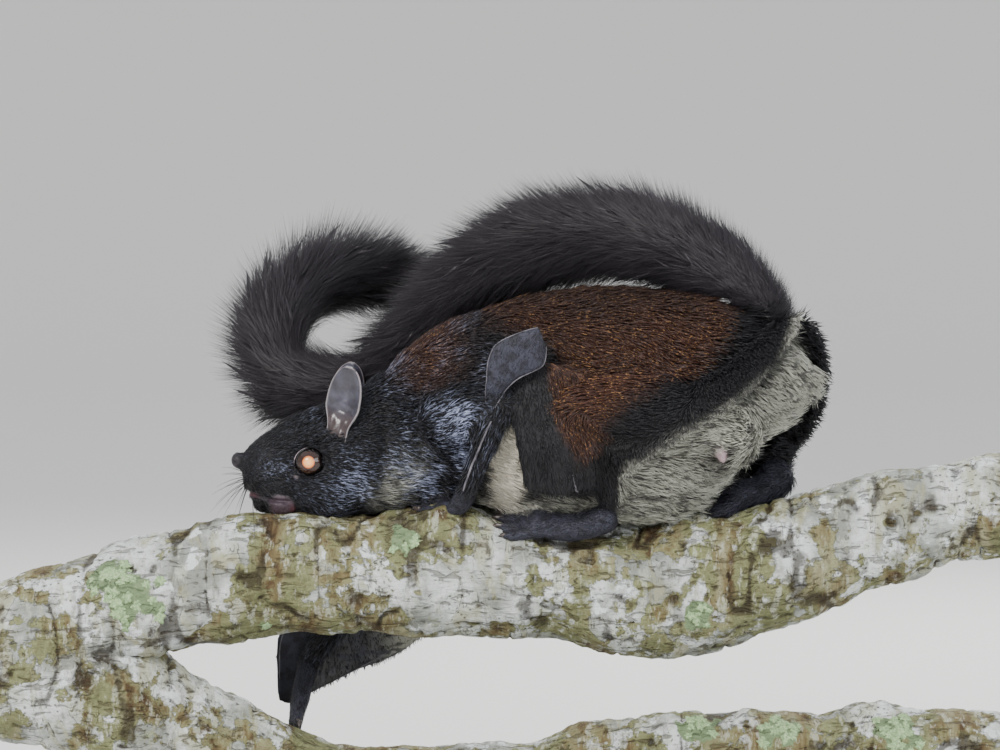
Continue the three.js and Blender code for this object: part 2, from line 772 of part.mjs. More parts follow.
// Radius out to the tips of the tail's coat, narrow at the root and closing at the tip
function furRadius(t) {
  const root = THREE.MathUtils.smoothstep(t, 0, 0.18);
  const tip = 1 - THREE.MathUtils.smoothstep(t, 0.84, 1.09);
  return TAIL.furRadius * (0.6 + 0.4 * root) * (0.12 + 0.88 * tip);
}

const TAIL_RUN = TAIL_ROUTE.getLength();

// A place round the tail: t along its route, past the end too, the angle round it and the radius
function tailFrame(t) {
  const inside = THREE.MathUtils.clamp(t, 0, 1);
  const along = TAIL_ROUTE.getTangentAt(inside);
  const centre = TAIL_ROUTE.getPointAt(inside).addScaledVector(along, (t - inside) * TAIL_RUN);
  const side = point(0, 0, 0).crossVectors(along, Y_AXIS).normalize();
  const top = point(0, 0, 0).crossVectors(side, along);
  return { centre, along, side, top };
}

function roundTail(t, angle, radius) {
  const { centre, side, top } = tailFrame(t);
  centre.addScaledVector(side, radius * Math.cos(angle));
  return centre.addScaledVector(top, radius * Math.sin(angle));
}

// A small generator of repeatable random numbers between 0 and 1
function seeded(seed) {
  let state = seed;
  return () => {
    state = (state * 16807) % 2147483647;
    return state / 2147483647;
  };
}

// One flat, tapered lock: it leaves the core, bends over and lies back along the tail
function lockBody({ t, angle, length, width, curl, lift }, swell) {
  const steps = [0, 0.28, 0.7, 1];
  const rise = [0, 0.58, 0.96, 1];
  const spread = [0.38, 0.92, 0.9, 0];
  const run = (length * Math.cos(0.4) + 3 * swell) / TAIL_RUN;
  const spine = steps.map((s, k) => {
    const place = t + s * run;
    const core = furRadius(place) * TAIL.core - TAIL.rootSink;
    const radius = core + (furRadius(place) * lift - core) * rise[k];
    return roundTail(place, angle + curl * s * s, Math.max(radius, 0.5));
  });
  const points = [];
  for (let k = 0; k < 3; k += 1) {
    const ahead = spine[k + 1].clone().sub(spine[Math.max(k - 1, 0)]).normalize();
    const { centre } = tailFrame(t + steps[k] * run);
    const outward = spine[k].clone().sub(centre).normalize();
    const across = point(0, 0, 0).crossVectors(ahead, outward).normalize();
    const normal = point(0, 0, 0).crossVectors(across, ahead);
    const half = (width * spread[k]) / 2 + 3 * swell;
    const thick = TAIL.lockThickness * (1 - 0.25 * k) + 1.2 * swell;
    points.push(spine[k].clone().addScaledVector(across, half));
    points.push(spine[k].clone().addScaledVector(normal, thick));
    points.push(spine[k].clone().addScaledVector(across, -half));
    points.push(spine[k].clone().addScaledVector(normal, -thick));
  }
  points.push(spine[3]);
  const faces = [[0, 1, 2], [0, 2, 3]];
  for (let k = 0; k < 2; k += 1) {
    for (let j = 0; j < 4; j += 1) {
      const a = 4 * k + j;
      const b = 4 * k + ((j + 1) % 4);
      faces.push([a, a + 4, b], [b, a + 4, b + 4]);
    }
  }
  for (let j = 0; j < 4; j += 1) {
    faces.push([8 + j, 12, 8 + ((j + 1) % 4)]);
  }
  return solid(closedGeometry(points, faces));
}

// Every lock of the coat, row by row from the rump to the tip, each row turned against the last
function coatLocks() {
  const random = seeded(4127);
  const rows = Math.round(TAIL_RUN / TAIL.rowSpacing);
  const locks = [];
  for (let row = 0; row < rows; row += 1) {
    const count = row < rows - 2 ? TAIL.locksPerRow : TAIL.locksAtTip;
    for (let k = 0; k < count; k += 1) {
      const turn = (2 * Math.PI * (k + 0.5 * (row % 2))) / count;
      const t = (row + 0.25 * random() - 0.1) / rows;
      locks.push({
        t,
        angle: turn + 0.16 * (random() - 0.5),
        length: TAIL.lockLength * (0.85 + 0.3 * random()),
        width: TAIL.lockWidth * (0.85 + 0.25 * random()) * Math.min(1, furRadius(t) / TAIL.furRadius),
        curl: 0.3 * (random() - 0.5),
        lift: 0.95 + 0.1 * random(),
      });
    }
  }
  return locks;
}

const COAT = coatLocks();

function tailLength(index, swell = 0) {
  const from = index / TAIL.lengths;
  const to = (index + 1) / TAIL.lengths;
  const spare = 0.02;
  const stations = [];
  for (let k = 0; k <= 6; k += 1) {
    const t = THREE.MathUtils.clamp(THREE.MathUtils.lerp(from - spare, to + spare, k / 6), 0, 1);
    stations.push(station(TAIL_ROUTE.getPointAt(t), furRadius(t) * TAIL.core));
  }
  const core = loft(stations, { sides: TAIL.sides, steps: 1, up: Y_AXIS, dome: 0.5, swell });
  const locks = COAT.filter(({ t }) => t >= from && t < to);
  const planes = [];
  if (index > 0) {
    const along = TAIL_ROUTE.getTangentAt(from);
    planes.push({ at: TAIL_ROUTE.getPointAt(from).addScaledVector(along, GAP / 2 - swell), normal: along });
  }
  if (index < TAIL.lengths - 1) {
    const back = TAIL_ROUTE.getTangentAt(to).negate();
    planes.push({ at: TAIL_ROUTE.getPointAt(to).addScaledVector(back, GAP / 2 - swell), normal: back });
  }
  const lengthOfCore = between(core, planes);
  return join([lengthOfCore, ...locks.map((lock) => lockBody(lock, swell))]);
}

for (let i = 0; i < TAIL.lengths; i += 1) {
  addNode(`tail_${i + 1}`, cutClear(tailLength(i), rooms), 'tail');
  rooms.push(tailLength(i, GAP));
}

export default model;
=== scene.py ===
"""Finish of a giant flying squirrel on a forked branch, life size, on a display stand."""
import math

import bmesh
import bpy
import numpy as np
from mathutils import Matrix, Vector
from mathutils.bvhtree import BVHTree
from mathutils.kdtree import KDTree


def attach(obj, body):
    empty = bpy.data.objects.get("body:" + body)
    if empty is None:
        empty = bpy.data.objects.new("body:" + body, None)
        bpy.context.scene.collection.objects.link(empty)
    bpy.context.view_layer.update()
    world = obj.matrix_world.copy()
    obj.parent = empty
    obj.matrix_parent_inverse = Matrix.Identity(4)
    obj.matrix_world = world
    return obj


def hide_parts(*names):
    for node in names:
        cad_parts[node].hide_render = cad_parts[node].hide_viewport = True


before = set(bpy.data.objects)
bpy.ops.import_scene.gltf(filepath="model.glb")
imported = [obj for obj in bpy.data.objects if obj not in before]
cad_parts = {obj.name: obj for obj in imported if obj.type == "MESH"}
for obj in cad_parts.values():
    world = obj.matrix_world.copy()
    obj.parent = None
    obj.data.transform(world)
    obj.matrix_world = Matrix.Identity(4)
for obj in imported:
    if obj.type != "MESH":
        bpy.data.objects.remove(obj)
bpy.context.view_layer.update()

# Millimetres are used for every shape and turned into metres where a mesh is made
MM = 0.001
BODY_Y = 2.0

EYE = {"x": -114.5, "y": 20.4, "z": 281.5, "radius": 9.6, "opening": 50.0, "lid": 1.15,
       "axis": (-0.07, 1.0, 0.05)}
NOSE = {"x": -159.0, "z": 281.0}
MOUTH = {"front": -152.0, "corner": -127.0, "z": 262.0, "sag": 6.0, "depth": 1.7, "width": 0.9}
LIP = {"x": -132.0, "z": 254.5, "apart": 10.5, "radius": 8.4}
EAR = {"root": (-99, 22, 296), "tip": (-90.5, 27, 339), "half_width": 12.2, "cup": 7.0, "wall": 0.8}
TOE = {"tip": 2.5, "claw": 7.5, "claw_root": 1.5}

SHOULDER_LEFT, ELBOW_LEFT, WRIST_LEFT = (-36, -20, 306), (0, -49, 320), (-19, -43, 268)
SHOULDER_RIGHT, ELBOW_RIGHT, WRIST_RIGHT = (-36, 22, 296), (-72, 58, 222), (-119, 57, 152)
HIP_LEFT, KNEE_LEFT, ANKLE_LEFT = (132, -18, 306), (46, -54, 318), (66, -40, 264)
HIP_RIGHT, KNEE_RIGHT, ANKLE_RIGHT = (130, 22, 304), (80, 62, 288), (168, 30, 281)

TAIL_ROUTE = [
    (170, 2, 350), (158, 5, 374), (143, 9, 389), (120, 13, 403), (92, 17, 414), (58, 23, 418),
    (18, 30, 411), (-15, 44, 390), (-45, 54, 355), (-70, 61, 328), (-103, 63, 318), (-128, 67, 325),
    (-139, 75, 347), (-133, 87, 371), (-112, 99, 387), (-88, 107, 392), (-61, 111, 392), (-38, 113, 389),
]
TAIL = {"flesh_root": 9.0, "flesh_tip": 3.0, "fur": 33.5, "steps": 240}

# The wing tip's two edges and the free edges of the other membranes
WINGTIP_FRONT = [(-8, -55, 317), (-8, -57, 337), (-4, -59, 353), (10, -60, 361), (23, -60, 365)]
WINGTIP_BACK = [(-4, -55, 315), (4, -57, 328), (14, -59, 336), (26, -60, 341), (28, -60, 353)]
FREE_EDGES = [
    [(44, -62, 276), (47, -62, 268), (52, -62, 259)],
    [(-120, 58, 131), (-42, 59, 171), (52, 58, 214), (148, 46, 270)],
    [(-5, -57, 309), (-10, -55, 298), (-16, -52, 284), (-22, -48, 266)],
    [(-128, 59, 188), (-133, 58, 172), (-136, 58, 156), (-136, 58, 141)],
]

# The bare papilla among the rump's pale fur
PAPILLA = {"at": (132, -40, 289.5), "reach": 3.7, "rise": 8.5}

# Lower edge of the chestnut saddle, seen from the side: along the body, then up
SADDLE_EDGE = [
    (-16, 367), (8, 360), (27, 352), (31, 322), (39, 299), (47, 280), (54, 292), (60, 302),
    (86, 321), (112, 334), (130, 356), (142, 392),
]

# Painted highlights on the face, laid on as silvered hair tips: strength, and x, z, reach along and reach
# up of each
FACE_SHEEN_SPOTS = [
    (1.1, (-137, 277, 9, 6)), (0.25, (-92, 272, 14, 18)), (0.5, (-95, 265, 16, 13)),
    (0.4, (-116, 306, 5, 8)),
]

# Upper edge of the pale belly and rump, as the flank shows it
PALE_EDGE = [
    (67, 240), (71, 282), (88, 291), (118, 309), (148, 330), (164, 345), (178, 372), (200, 392),
]

UPPER_LIMB = {
    "stations": [
        (-302, -2, 160, 44), (-254, -3, 184, 39), (-212, -4, 198, 36.5), (-151, -4, 210, 37),
        (-91, -4, 213, 37.5), (-30, -4, 214, 38.5), (36, -4, 208, 37), (91, -4, 202, 39),
        (151, -4, 212, 40), (212, -2, 234, 34.5), (267, 0, 249, 31.5), (312, 2, 255, 33),
    ],
    "knobs": [
        (-32, 0.95, 10, 19), (-128, 1.2, 3, 20), (121, 1.7, 6, 18), (165, 0.1, 7, 22),
        (100, -0.9, 5, 20), (-250, 2.4, 6, 18),
    ],
    "seed": 0.4,
}
LOWER_LIMB = {
    "stations": [
        (-318, 2, 162, 47), (-270, 3, 150, 47), (-225, 6, 126, 44), (-182, 11, 100, 40),
        (-121, 18, 79, 34.5), (-60, 20, 72, 32.5), (0, 20, 74, 32), (60, 19, 84, 32),
        (121, 17, 93, 32.5), (212, 14, 95, 33), (312, 12, 95, 33),
    ],
    "knobs": [
        (-150, 0.9, 5, 16), (60, 1.5, 5, 20), (150, 1.2, 4, 16), (230, 1.7, 5, 18),
        (-270, 1.6, 7, 24),
    ],
    "seed": 2.1,
}
PERCH_CUTS = {"left": -310.0, "right": 306.0}

# Camera: level with the perch, in front of the left flank
CAMERA = {"distance": 3.0, "elevation": 3.0, "aim": (0.0, 0.0, 0.333), "frame_width": 0.606}

FLESH_NODES = [
    "head", "neck", "torso_front", "torso_rear",
    "forelimb_left", "forelimb_right", "hindlimb_left", "hindlimb_right",
    "hand_left", "hand_right", "foot_left", "foot_right",
    "wingtip_left", "wingtip_right", "patagium_left", "patagium_right",
    "uropatagium_left", "uropatagium_right",
]
TAIL_NODES = ["tail_1", "tail_2", "tail_3", "tail_4", "tail_5"]
ZONE_NAMES = FLESH_NODES + ["tail"]


# Small mathematics on arrays of points
def array(values):
    return np.asarray(values, dtype=float)


def unit(vectors):
    vectors = array(vectors)
    lengths = np.linalg.norm(vectors, axis=-1, keepdims=True)
    return vectors / np.maximum(lengths, 1e-9)


def smoothstep(values, low, high):
    t = np.clip((values - low) / (high - low), 0, 1)
    return t * t * (3 - 2 * t)


def bell(values, width):
    return np.exp(-(values / width) ** 2)


def hashed(cells, seed):
    """A repeatable number between 0 and 1 for each whole-number cell."""
    x, y, z = (cells[..., i].astype(np.int64) for i in range(3))
    mixed = (x * 73856093) ^ (y * 19349663) ^ (z * 83492791) ^ (seed * 2654435761)
    mixed = (mixed ^ (mixed >> 13)) * 1274126177
    return ((mixed ^ (mixed >> 16)) & 0xFFFF) / 65535.0


def soft_noise(points, size, seed=1):
    """Smooth noise between -1 and 1 whose lumps are about the given size."""
    scaled = array(points) / size
    cell = np.floor(scaled)
    inside = scaled - cell
    inside = inside * inside * (3 - 2 * inside)
    total = np.zeros(len(scaled))
    for corner in range(8):
        step = array([(corner >> axis) & 1 for axis in range(3)])
        share = np.where(step > 0, inside, 1 - inside).prod(axis=1)
        total += share * hashed(cell + step, seed)
    return total * 2 - 1


def smooth_route(points, count):
    """Points along a centripetal Catmull-Rom curve, evenly spaced in its parameter."""
    points = array(points)
    ends = np.vstack([2 * points[0] - points[1], points, 2 * points[-1] - points[-2]])
    place = np.linspace(0, len(points) - 1, count)
    index = np.minimum(place.astype(int), len(points) - 2)
    w = (place - index)[:, None]
    p0, p1, p2, p3 = (ends[index + k] for k in range(4))
    d0, d1, d2 = (
        np.maximum(np.linalg.norm((b - a)[:, :3], axis=1, keepdims=True) ** 0.5, 1e-6)
        for a, b in ((p0, p1), (p1, p2), (p2, p3))
    )
    t1 = d1 * ((p1 - p0) / d0 - (p2 - p0) / (d0 + d1) + (p2 - p1) / d1)
    t2 = d1 * ((p2 - p1) / d1 - (p3 - p1) / (d1 + d2) + (p3 - p2) / d2)
    return p1 + t1 * w + (3 * (p2 - p1) - 2 * t1 - t2) * w**2 + (2 * (p1 - p2) + t1 + t2) * w**3


def even_route(points, count):
    """Points at even distances along the smooth curve."""
    fine = smooth_route(points, 1200)
    run = np.concatenate([[0], np.cumsum(np.linalg.norm(np.diff(fine[:, :3], axis=0), axis=1))])
    wanted = np.linspace(0, run[-1], count)
    return np.stack([np.interp(wanted, run, fine[:, k]) for k in range(fine.shape[1])], axis=1)


def tangents(route):
    return unit(np.gradient(route[:, :3], axis=0))


def blob(points, place, reach):
    """One at a place, falling off to zero over a reach given for each axis."""
    return np.exp(-(((points - array(place)) / array(reach)) ** 2).sum(axis=-1))


def spot(points, x, z, across, up):
    """A blob seen from the side: one at x and z, whatever y is."""
    return np.exp(-((points[:, 0] - x) / across) ** 2 - ((points[:, 2] - z) / up) ** 2)


# Meshes
def placed(name, data):
    """A new object in the scene."""
    thing = bpy.data.objects.new(name, data)
    bpy.context.scene.collection.objects.link(thing)
    return thing


def smooth_mesh(name, points, faces):
    """A mesh of points in metres."""
    mesh = bpy.data.meshes.new(name)
    mesh.from_pydata(array(points).tolist(), [], [tuple(face) for face in faces])
    mesh.validate()
    mesh.polygons.foreach_set("use_smooth", [True] * len(mesh.polygons))
    mesh.update()
    return mesh


def make_mesh(name, points, faces):
    return smooth_mesh(name, array(points) * MM, faces)


def add_piece(name, mesh, finish, replaces=()):
    piece = placed(name, mesh)
    mesh.materials.clear()
    mesh.materials.append(finish)
    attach(piece, "root")
    if replaces:
        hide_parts(*replaces)
    return piece


def read_all(items, field, width, kind=float):
    """One field of all vertices, edges or faces, as rows."""
    flat = np.empty(len(items) * width, dtype=kind)
    items.foreach_get(field, flat)
    return flat.reshape(-1, width)


def mesh_points(mesh):
    return read_all(mesh.vertices, "co", 3) / MM


def set_points(mesh, points):
    mesh.vertices.foreach_set("co", (points * MM).ravel())
    mesh.update()


def mesh_normals(mesh):
    return read_all(mesh.vertex_normals, "vector", 3)


def mesh_edges(mesh):
    return read_all(mesh.edges, "vertices", 2, np.int32)


def spread_out(values, edges, rounds, share=0.5):
    """Evens values out between neighbouring vertices. share may differ from vertex to vertex."""
    values = array(values)
    flat = values.reshape(len(values), -1)
    share = np.broadcast_to(array(share).reshape(-1, 1), (len(values), 1))
    first, second = edges[:, 0], edges[:, 1]
    count = np.bincount(edges.ravel(), minlength=len(values)).astype(float)[:, None]
    for _ in range(rounds):
        total = np.stack([
            np.bincount(first, column[second], len(values))
            + np.bincount(second, column[first], len(values))
            for column in flat.T
        ], axis=1)
        flat = flat + share * (total / np.maximum(count, 1) - flat)
    return flat.reshape(values.shape)


def set_field(mesh, name, values):
    values = array(values)
    kind = "FLOAT_VECTOR" if values.ndim == 2 else "FLOAT"
    field = mesh.attributes.new(name, kind, "POINT")
    field.data.foreach_set("vector" if values.ndim == 2 else "value", values.ravel())


def merged_copy(node, grow=0.0):
    """Points and faces of a CAD node with its loose triangles joined, grown along its normals."""
    work = bmesh.new()
    work.from_mesh(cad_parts[node].data)
    bmesh.ops.remove_doubles(work, verts=work.verts, dist=1e-5)
    work.normal_update()
    points = array([v.co + v.normal * grow * MM for v in work.verts]) / MM
    faces = [[v.index for v in face.verts] for face in work.faces]
    work.free()
    return points, faces


def ring_faces(rings, sides, start=0):
    """The quads between neighbouring rings of points."""
    faces = []
    for ring in range(rings - 1):
        for k in range(sides):
            a = start + ring * sides + k
            b = start + ring * sides + (k + 1) % sides
            faces.append((a, a + sides, b + sides, b))
    return faces


def tube(route, radii, sides=12, flatten=1.0):
    """A closed tube along a route, with sections that don't twist."""
    route = array(route)
    rings = len(route)
    radii = np.broadcast_to(array(radii), (rings,))
    ahead = tangents(route)
    side = unit(np.cross(ahead[0], [0, 0, 1] if abs(ahead[0][2]) < 0.9 else [0, 1, 0]))
    turns = 2 * math.pi * np.arange(sides) / sides
    points = []
    for centre, along, radius in zip(route, ahead, radii):
        side = unit(side - along * np.dot(side, along))
        top = np.cross(side, along)
        points += [centre + radius * (math.cos(t) * side + math.sin(t) * flatten * top) for t in turns]
    faces = ring_faces(rings, sides)
    points += [route[0] - ahead[0] * radii[0] * 0.5, route[-1] + ahead[-1] * radii[-1] * 0.5]
    first, last = rings * sides, (rings - 1) * sides
    for k in range(sides):
        following = (k + 1) % sides
        faces.append((k, following, first))
        faces.append((last + following, last + k, first + 1))
    return array(points), faces


def join_shapes(shapes):
    """One list of points and faces from several."""
    points, faces = [], []
    for some_points, some_faces in shapes:
        start = sum(len(p) for p in points)
        points.append(array(some_points))
        faces += [tuple(i + start for i in face) for face in some_faces]
    return np.vstack(points), faces


def shell(grid, thickness):
    """A closed sheet: a grid of points (rows, columns, 3), given thickness along its normals."""
    rows, columns = grid.shape[:2]
    normal = unit(np.cross(np.gradient(grid, axis=0), np.gradient(grid, axis=1)))
    half = normal * np.broadcast_to(array(thickness), (rows, columns))[..., None] / 2
    points = np.concatenate([(grid + half).reshape(-1, 3), (grid - half).reshape(-1, 3)])
    count = rows * columns
    faces = []
    for i in range(rows - 1):
        for j in range(columns - 1):
            a = i * columns + j
            quad = (a, a + columns, a + columns + 1, a + 1)
            faces.append(quad)
            faces.append(tuple(count + k for k in reversed(quad)))
    rim = list(range(columns))
    rim += [i * columns + columns - 1 for i in range(1, rows)]
    rim += [(rows - 1) * columns + j for j in range(columns - 2, -1, -1)]
    rim += [i * columns for i in range(rows - 2, 0, -1)]
    faces += [(a, b, b + count, a + count) for a, b in zip(rim, rim[1:] + rim[:1])]
    return points, faces


# Node trees
def connect(tree, socket, value):
    """Links a socket to another or sets it to a value."""
    if isinstance(value, bpy.types.NodeSocket):
        tree.links.new(value, socket)
    else:
        socket.default_value = value


def plug(tree, node, values):
    """Links or sets a node's inputs by name or number."""
    for key, value in values.items():
        connect(tree, node.inputs[key], value)


def add_node(tree, kind, inputs=None, **settings):
    node = tree.nodes.new(kind)
    for name, value in settings.items():
        setattr(node, name, value)
    plug(tree, node, inputs or {})
    return node


def new_group(name, kind, inputs, outputs):
    group = bpy.data.node_groups.new(name, kind)
    for label, socket_type, default in inputs:
        socket = group.interface.new_socket(label, in_out="INPUT", socket_type=socket_type)
        if default is not None:
            socket.default_value = default
    for label, socket_type in outputs:
        group.interface.new_socket(label, in_out="OUTPUT", socket_type=socket_type)
    return group, group.nodes.new("NodeGroupInput"), group.nodes.new("NodeGroupOutput")


def maths(tree, operation, a, b=0.0, c=0.0):
    return add_node(tree, "ShaderNodeMath", {0: a, 1: b, 2: c}, operation=operation).outputs[0]


def times(tree, first, *others):
    """The product of two or more values."""
    for other in others:
        first = maths(tree, "MULTIPLY", first, other)
    return first


def mixed(tree, factor, a, b, blend="MIX"):
    node = add_node(tree, "ShaderNodeMix", {0: factor, 6: a, 7: b}, data_type="RGBA", blend_type=blend)
    return node.outputs[2]


def covered_by(tree, shade, mask, share, cover):
    """A colour with a share of another laid over it where a mask is high."""
    return mixed(tree, times(tree, mask, share), shade, cover)


def ramp(tree, factor, stops):
    """Colours by their place between 0 and 1; a single number stands for a grey."""
    node = add_node(tree, "ShaderNodeValToRGB", {0: factor})
    elements = node.color_ramp.elements
    while len(elements) < len(stops):
        elements.new(0.5)
    for element, (position, shade) in zip(elements, stops):
        element.position = position
        element.color = (shade, shade, shade, 1) if isinstance(shade, float) else shade
    return node.outputs[0]


def ramp_value(tree, factor, low, high):
    """A soft step from 0 at low to 1 at high."""
    node = add_node(
        tree, "ShaderNodeMapRange", {0: factor, 1: low, 2: high, 3: 0.0, 4: 1.0},
        interpolation_type="SMOOTHSTEP",
    )
    return node.outputs[0]


def object_place(tree, stretch=None):
    """The place on the object, scaled along each axis if a stretch is given."""
    place = add_node(tree, "ShaderNodeTexCoord").outputs["Object"]
    if stretch is None:
        return place
    return add_node(tree, "ShaderNodeMapping", {"Vector": place, "Scale": stretch}).outputs[0]


def noise(tree, place, scale, detail=3.0, roughness=0.55, distortion=0.0):
    node = add_node(tree, "ShaderNodeTexNoise", {
        "Vector": place, "Scale": scale, "Detail": detail, "Roughness": roughness,
        "Distortion": distortion,
    })
    return node.outputs[0]


def attribute(tree, name):
    return add_node(tree, "ShaderNodeAttribute", attribute_name=name).outputs["Fac"]


def colour(red, green, blue):
    """An sRGB colour, given in 0 to 255, as a linear one."""
    values = array([red, green, blue]) / 255
    linear = np.where(values <= 0.04045, values / 12.92, ((values + 0.055) / 1.055) ** 2.4)
    return (*linear.tolist(), 1.0)


def new_finish(name):
    finish = bpy.data.materials.new(name)
    finish.use_nodes = True
    return finish, finish.node_tree


# Finishes of the coat and skin
BLACK_ROOT, BLACK_TIP = colour(8, 7, 10), colour(21, 20, 29)
# Silver of grizzled hair tips, also laid on the black fur as painted sheen and glints
SILVER_AND_SHEEN = colour(172, 180, 212)
CHESTNUT_ROOT, CHESTNUT_TIP = colour(38, 21, 17), colour(84, 49, 37)
GOLD = colour(196, 146, 92)
CREAM_ROOT, CREAM_TIP = colour(104, 102, 94), colour(224, 224, 210)
# Darker streaks of the pale fur, partly painted shadow, and the painted light of the throat
CREAM_STREAK_AND_SHADOW, CREAM_PAINTED_LIGHT = colour(82, 81, 78), colour(246, 238, 222)
VELVET_ROOT, VELVET_TIP = colour(34, 33, 42), colour(70, 71, 88)
VELVET_SHADE = colour(26, 25, 33)
DUSK = colour(26, 14, 11)
CHARCOAL_ROOT, CHARCOAL_TIP = colour(18, 15, 19), colour(52, 47, 54)
CHARCOAL_FRAYED = colour(92, 86, 96)


def dressed(finish, sockets, bump=None):
    """Fills the sockets of a finish's shader. A bump is a strength, a distance and a height."""
    tree = finish.node_tree
    shader = tree.nodes["Principled BSDF"]
    plug(tree, shader, sockets)
    if bump:
        node = add_node(tree, "ShaderNodeBump", dict(zip(("Strength", "Distance", "Height"), bump)))
        tree.links.new(node.outputs[0], shader.inputs["Normal"])
    return finish


def coat_marking_group():
    """Colour of the coat from the markings stored on it, its place and the run of the hairs."""
    group, given, result = new_group(
        "coat_marking", "ShaderNodeTree",
        [("Run", "NodeSocketFloat", 0.3), ("Tone", "NodeSocketFloat", 0.5)],
        [("Colour", "NodeSocketColor")],
    )
    run, tone = given.outputs["Run"], given.outputs["Tone"]
    place = object_place(group)
    grain = noise(group, place, 700.0, 2.0)
    lift = maths(group, "ADD", times(group, tone, 0.5), times(group, grain, 0.5))

    # Silver hair tips: the nape's grizzle, and painted sheen and glints on the face, neck and forelimbs
    frost = attribute(group, "frost")
    silvered = ramp_value(group, maths(group, "ADD", lift, times(group, frost, 0.3)), 0.6, 0.8)
    silver_tips_and_sheen = times(group, frost, silvered, ramp_value(group, run, 0.0, 0.6))
    black = mixed(group, silver_tips_and_sheen, mixed(group, run, BLACK_ROOT, BLACK_TIP), SILVER_AND_SHEEN)

    gilt = times(
        group, ramp_value(group, grain, 0.54, 0.62), ramp_value(group, run, 0.3, 0.8),
        ramp_value(group, tone, 0.2, 0.7),
    )
    chestnut = mixed(group, gilt, mixed(group, run, CHESTNUT_ROOT, CHESTNUT_TIP), GOLD)
    chestnut = covered_by(group, chestnut, attribute(group, "dusk"), 0.7, DUSK)

    # Darker waves through the pale fur: partly its own streaks, partly painted shadow in the gaps between
    # its locks
    combed = add_node(group, "ShaderNodeMapping", {
        "Vector": place, "Rotation": (0.0, 0.7, 0.0), "Scale": (0.3, 0.6, 1.0),
    })
    waves = noise(group, combed.outputs[0], 210.0, 3.0, 0.5, 1.6)
    cream = mixed(group, run, CREAM_ROOT, CREAM_TIP)
    cream = covered_by(group, cream, ramp_value(group, waves, 0.5, 0.62), 0.85, CREAM_STREAK_AND_SHADOW)
    # Painted light: near white laid over the throat's wedge so that it shows bright where it lies in shade
    cream = mixed(group, attribute(group, "light"), cream, CREAM_PAINTED_LIGHT)

    frayed = times(group, run, ramp_value(group, lift, 0.62, 0.85))
    tail = mixed(group, frayed, mixed(group, run, CHARCOAL_ROOT, CHARCOAL_TIP), CHARCOAL_FRAYED)

    dappled = ramp_value(group, noise(group, place, 150.0, 4.0), 0.44, 0.6)
    velvet = mixed(group, run, VELVET_ROOT, VELVET_TIP)
    velvet = covered_by(group, velvet, dappled, 0.7, VELVET_SHADE)

    shade = black
    for name, marked in (("plume", tail), ("velvet", velvet), ("warm", chestnut), ("pale", cream)):
        shade = mixed(group, attribute(group, name), shade, marked)
    depth = ramp(group, noise(group, place, 38.0, 4.0), [(0.3, 0.72), (0.7, 1.12)])
    shade = mixed(group, 1.0, shade, depth, "MULTIPLY")
    group.links.new(shade, result.inputs["Colour"])
    return group


def coat_finish(group):
    finish, tree = new_finish("fur")
    marking = add_node(tree, "ShaderNodeGroup", {
        "Run": attribute(tree, "strand"), "Tone": attribute(tree, "tone"),
    }, node_tree=group)
    return dressed(finish, {
        "Base Color": marking.outputs["Colour"], "Roughness": 0.44, "Specular IOR Level": 0.42,
        "Sheen Weight": 0.04, "Sheen Roughness": 0.4,
    })


def skin_finish(group):
    """Short flat fur as bump, and bare dark skin on the nose, lips and pads."""
    finish, tree = new_finish("short_fur_and_skin")
    place = object_place(tree)
    fine = noise(tree, place, 900.0, 2.0)
    marking = add_node(tree, "ShaderNodeGroup", {"Run": 0.5, "Tone": fine}, node_tree=group)
    bare = attribute(tree, "bare")
    pores = add_node(tree, "ShaderNodeTexVoronoi", {"Vector": place, "Scale": 1100.0}).outputs[0]
    flesh = ramp(tree, noise(tree, place, 160.0, 3.0), [
        (0.3, colour(28, 25, 31)), (0.75, colour(68, 60, 70)),
    ])
    flesh = mixed(tree, attribute(tree, "pink"), flesh, colour(160, 98, 112))
    flesh = covered_by(tree, flesh, attribute(tree, "lid"), 0.66, colour(192, 176, 182))
    return dressed(finish, {
        "Base Color": mixed(tree, bare, marking.outputs["Colour"], flesh),
        "Roughness": maths(tree, "MULTIPLY_ADD", bare, -0.22, 0.66),
        "Specular IOR Level": 0.4,
    }, (0.35, 0.0006, mixed(tree, bare, fine, pores)))


# The fields that steer the coat, zone by zone
def coat(lie, depth, length, width, lift, density=1.0):
    """The lie's route, the depth of the skin under it, and the tufts' size, rise and number."""
    return {"lie": lie, "depth": depth, "length": length, "width": width, "lift": lift,
            "density": density}


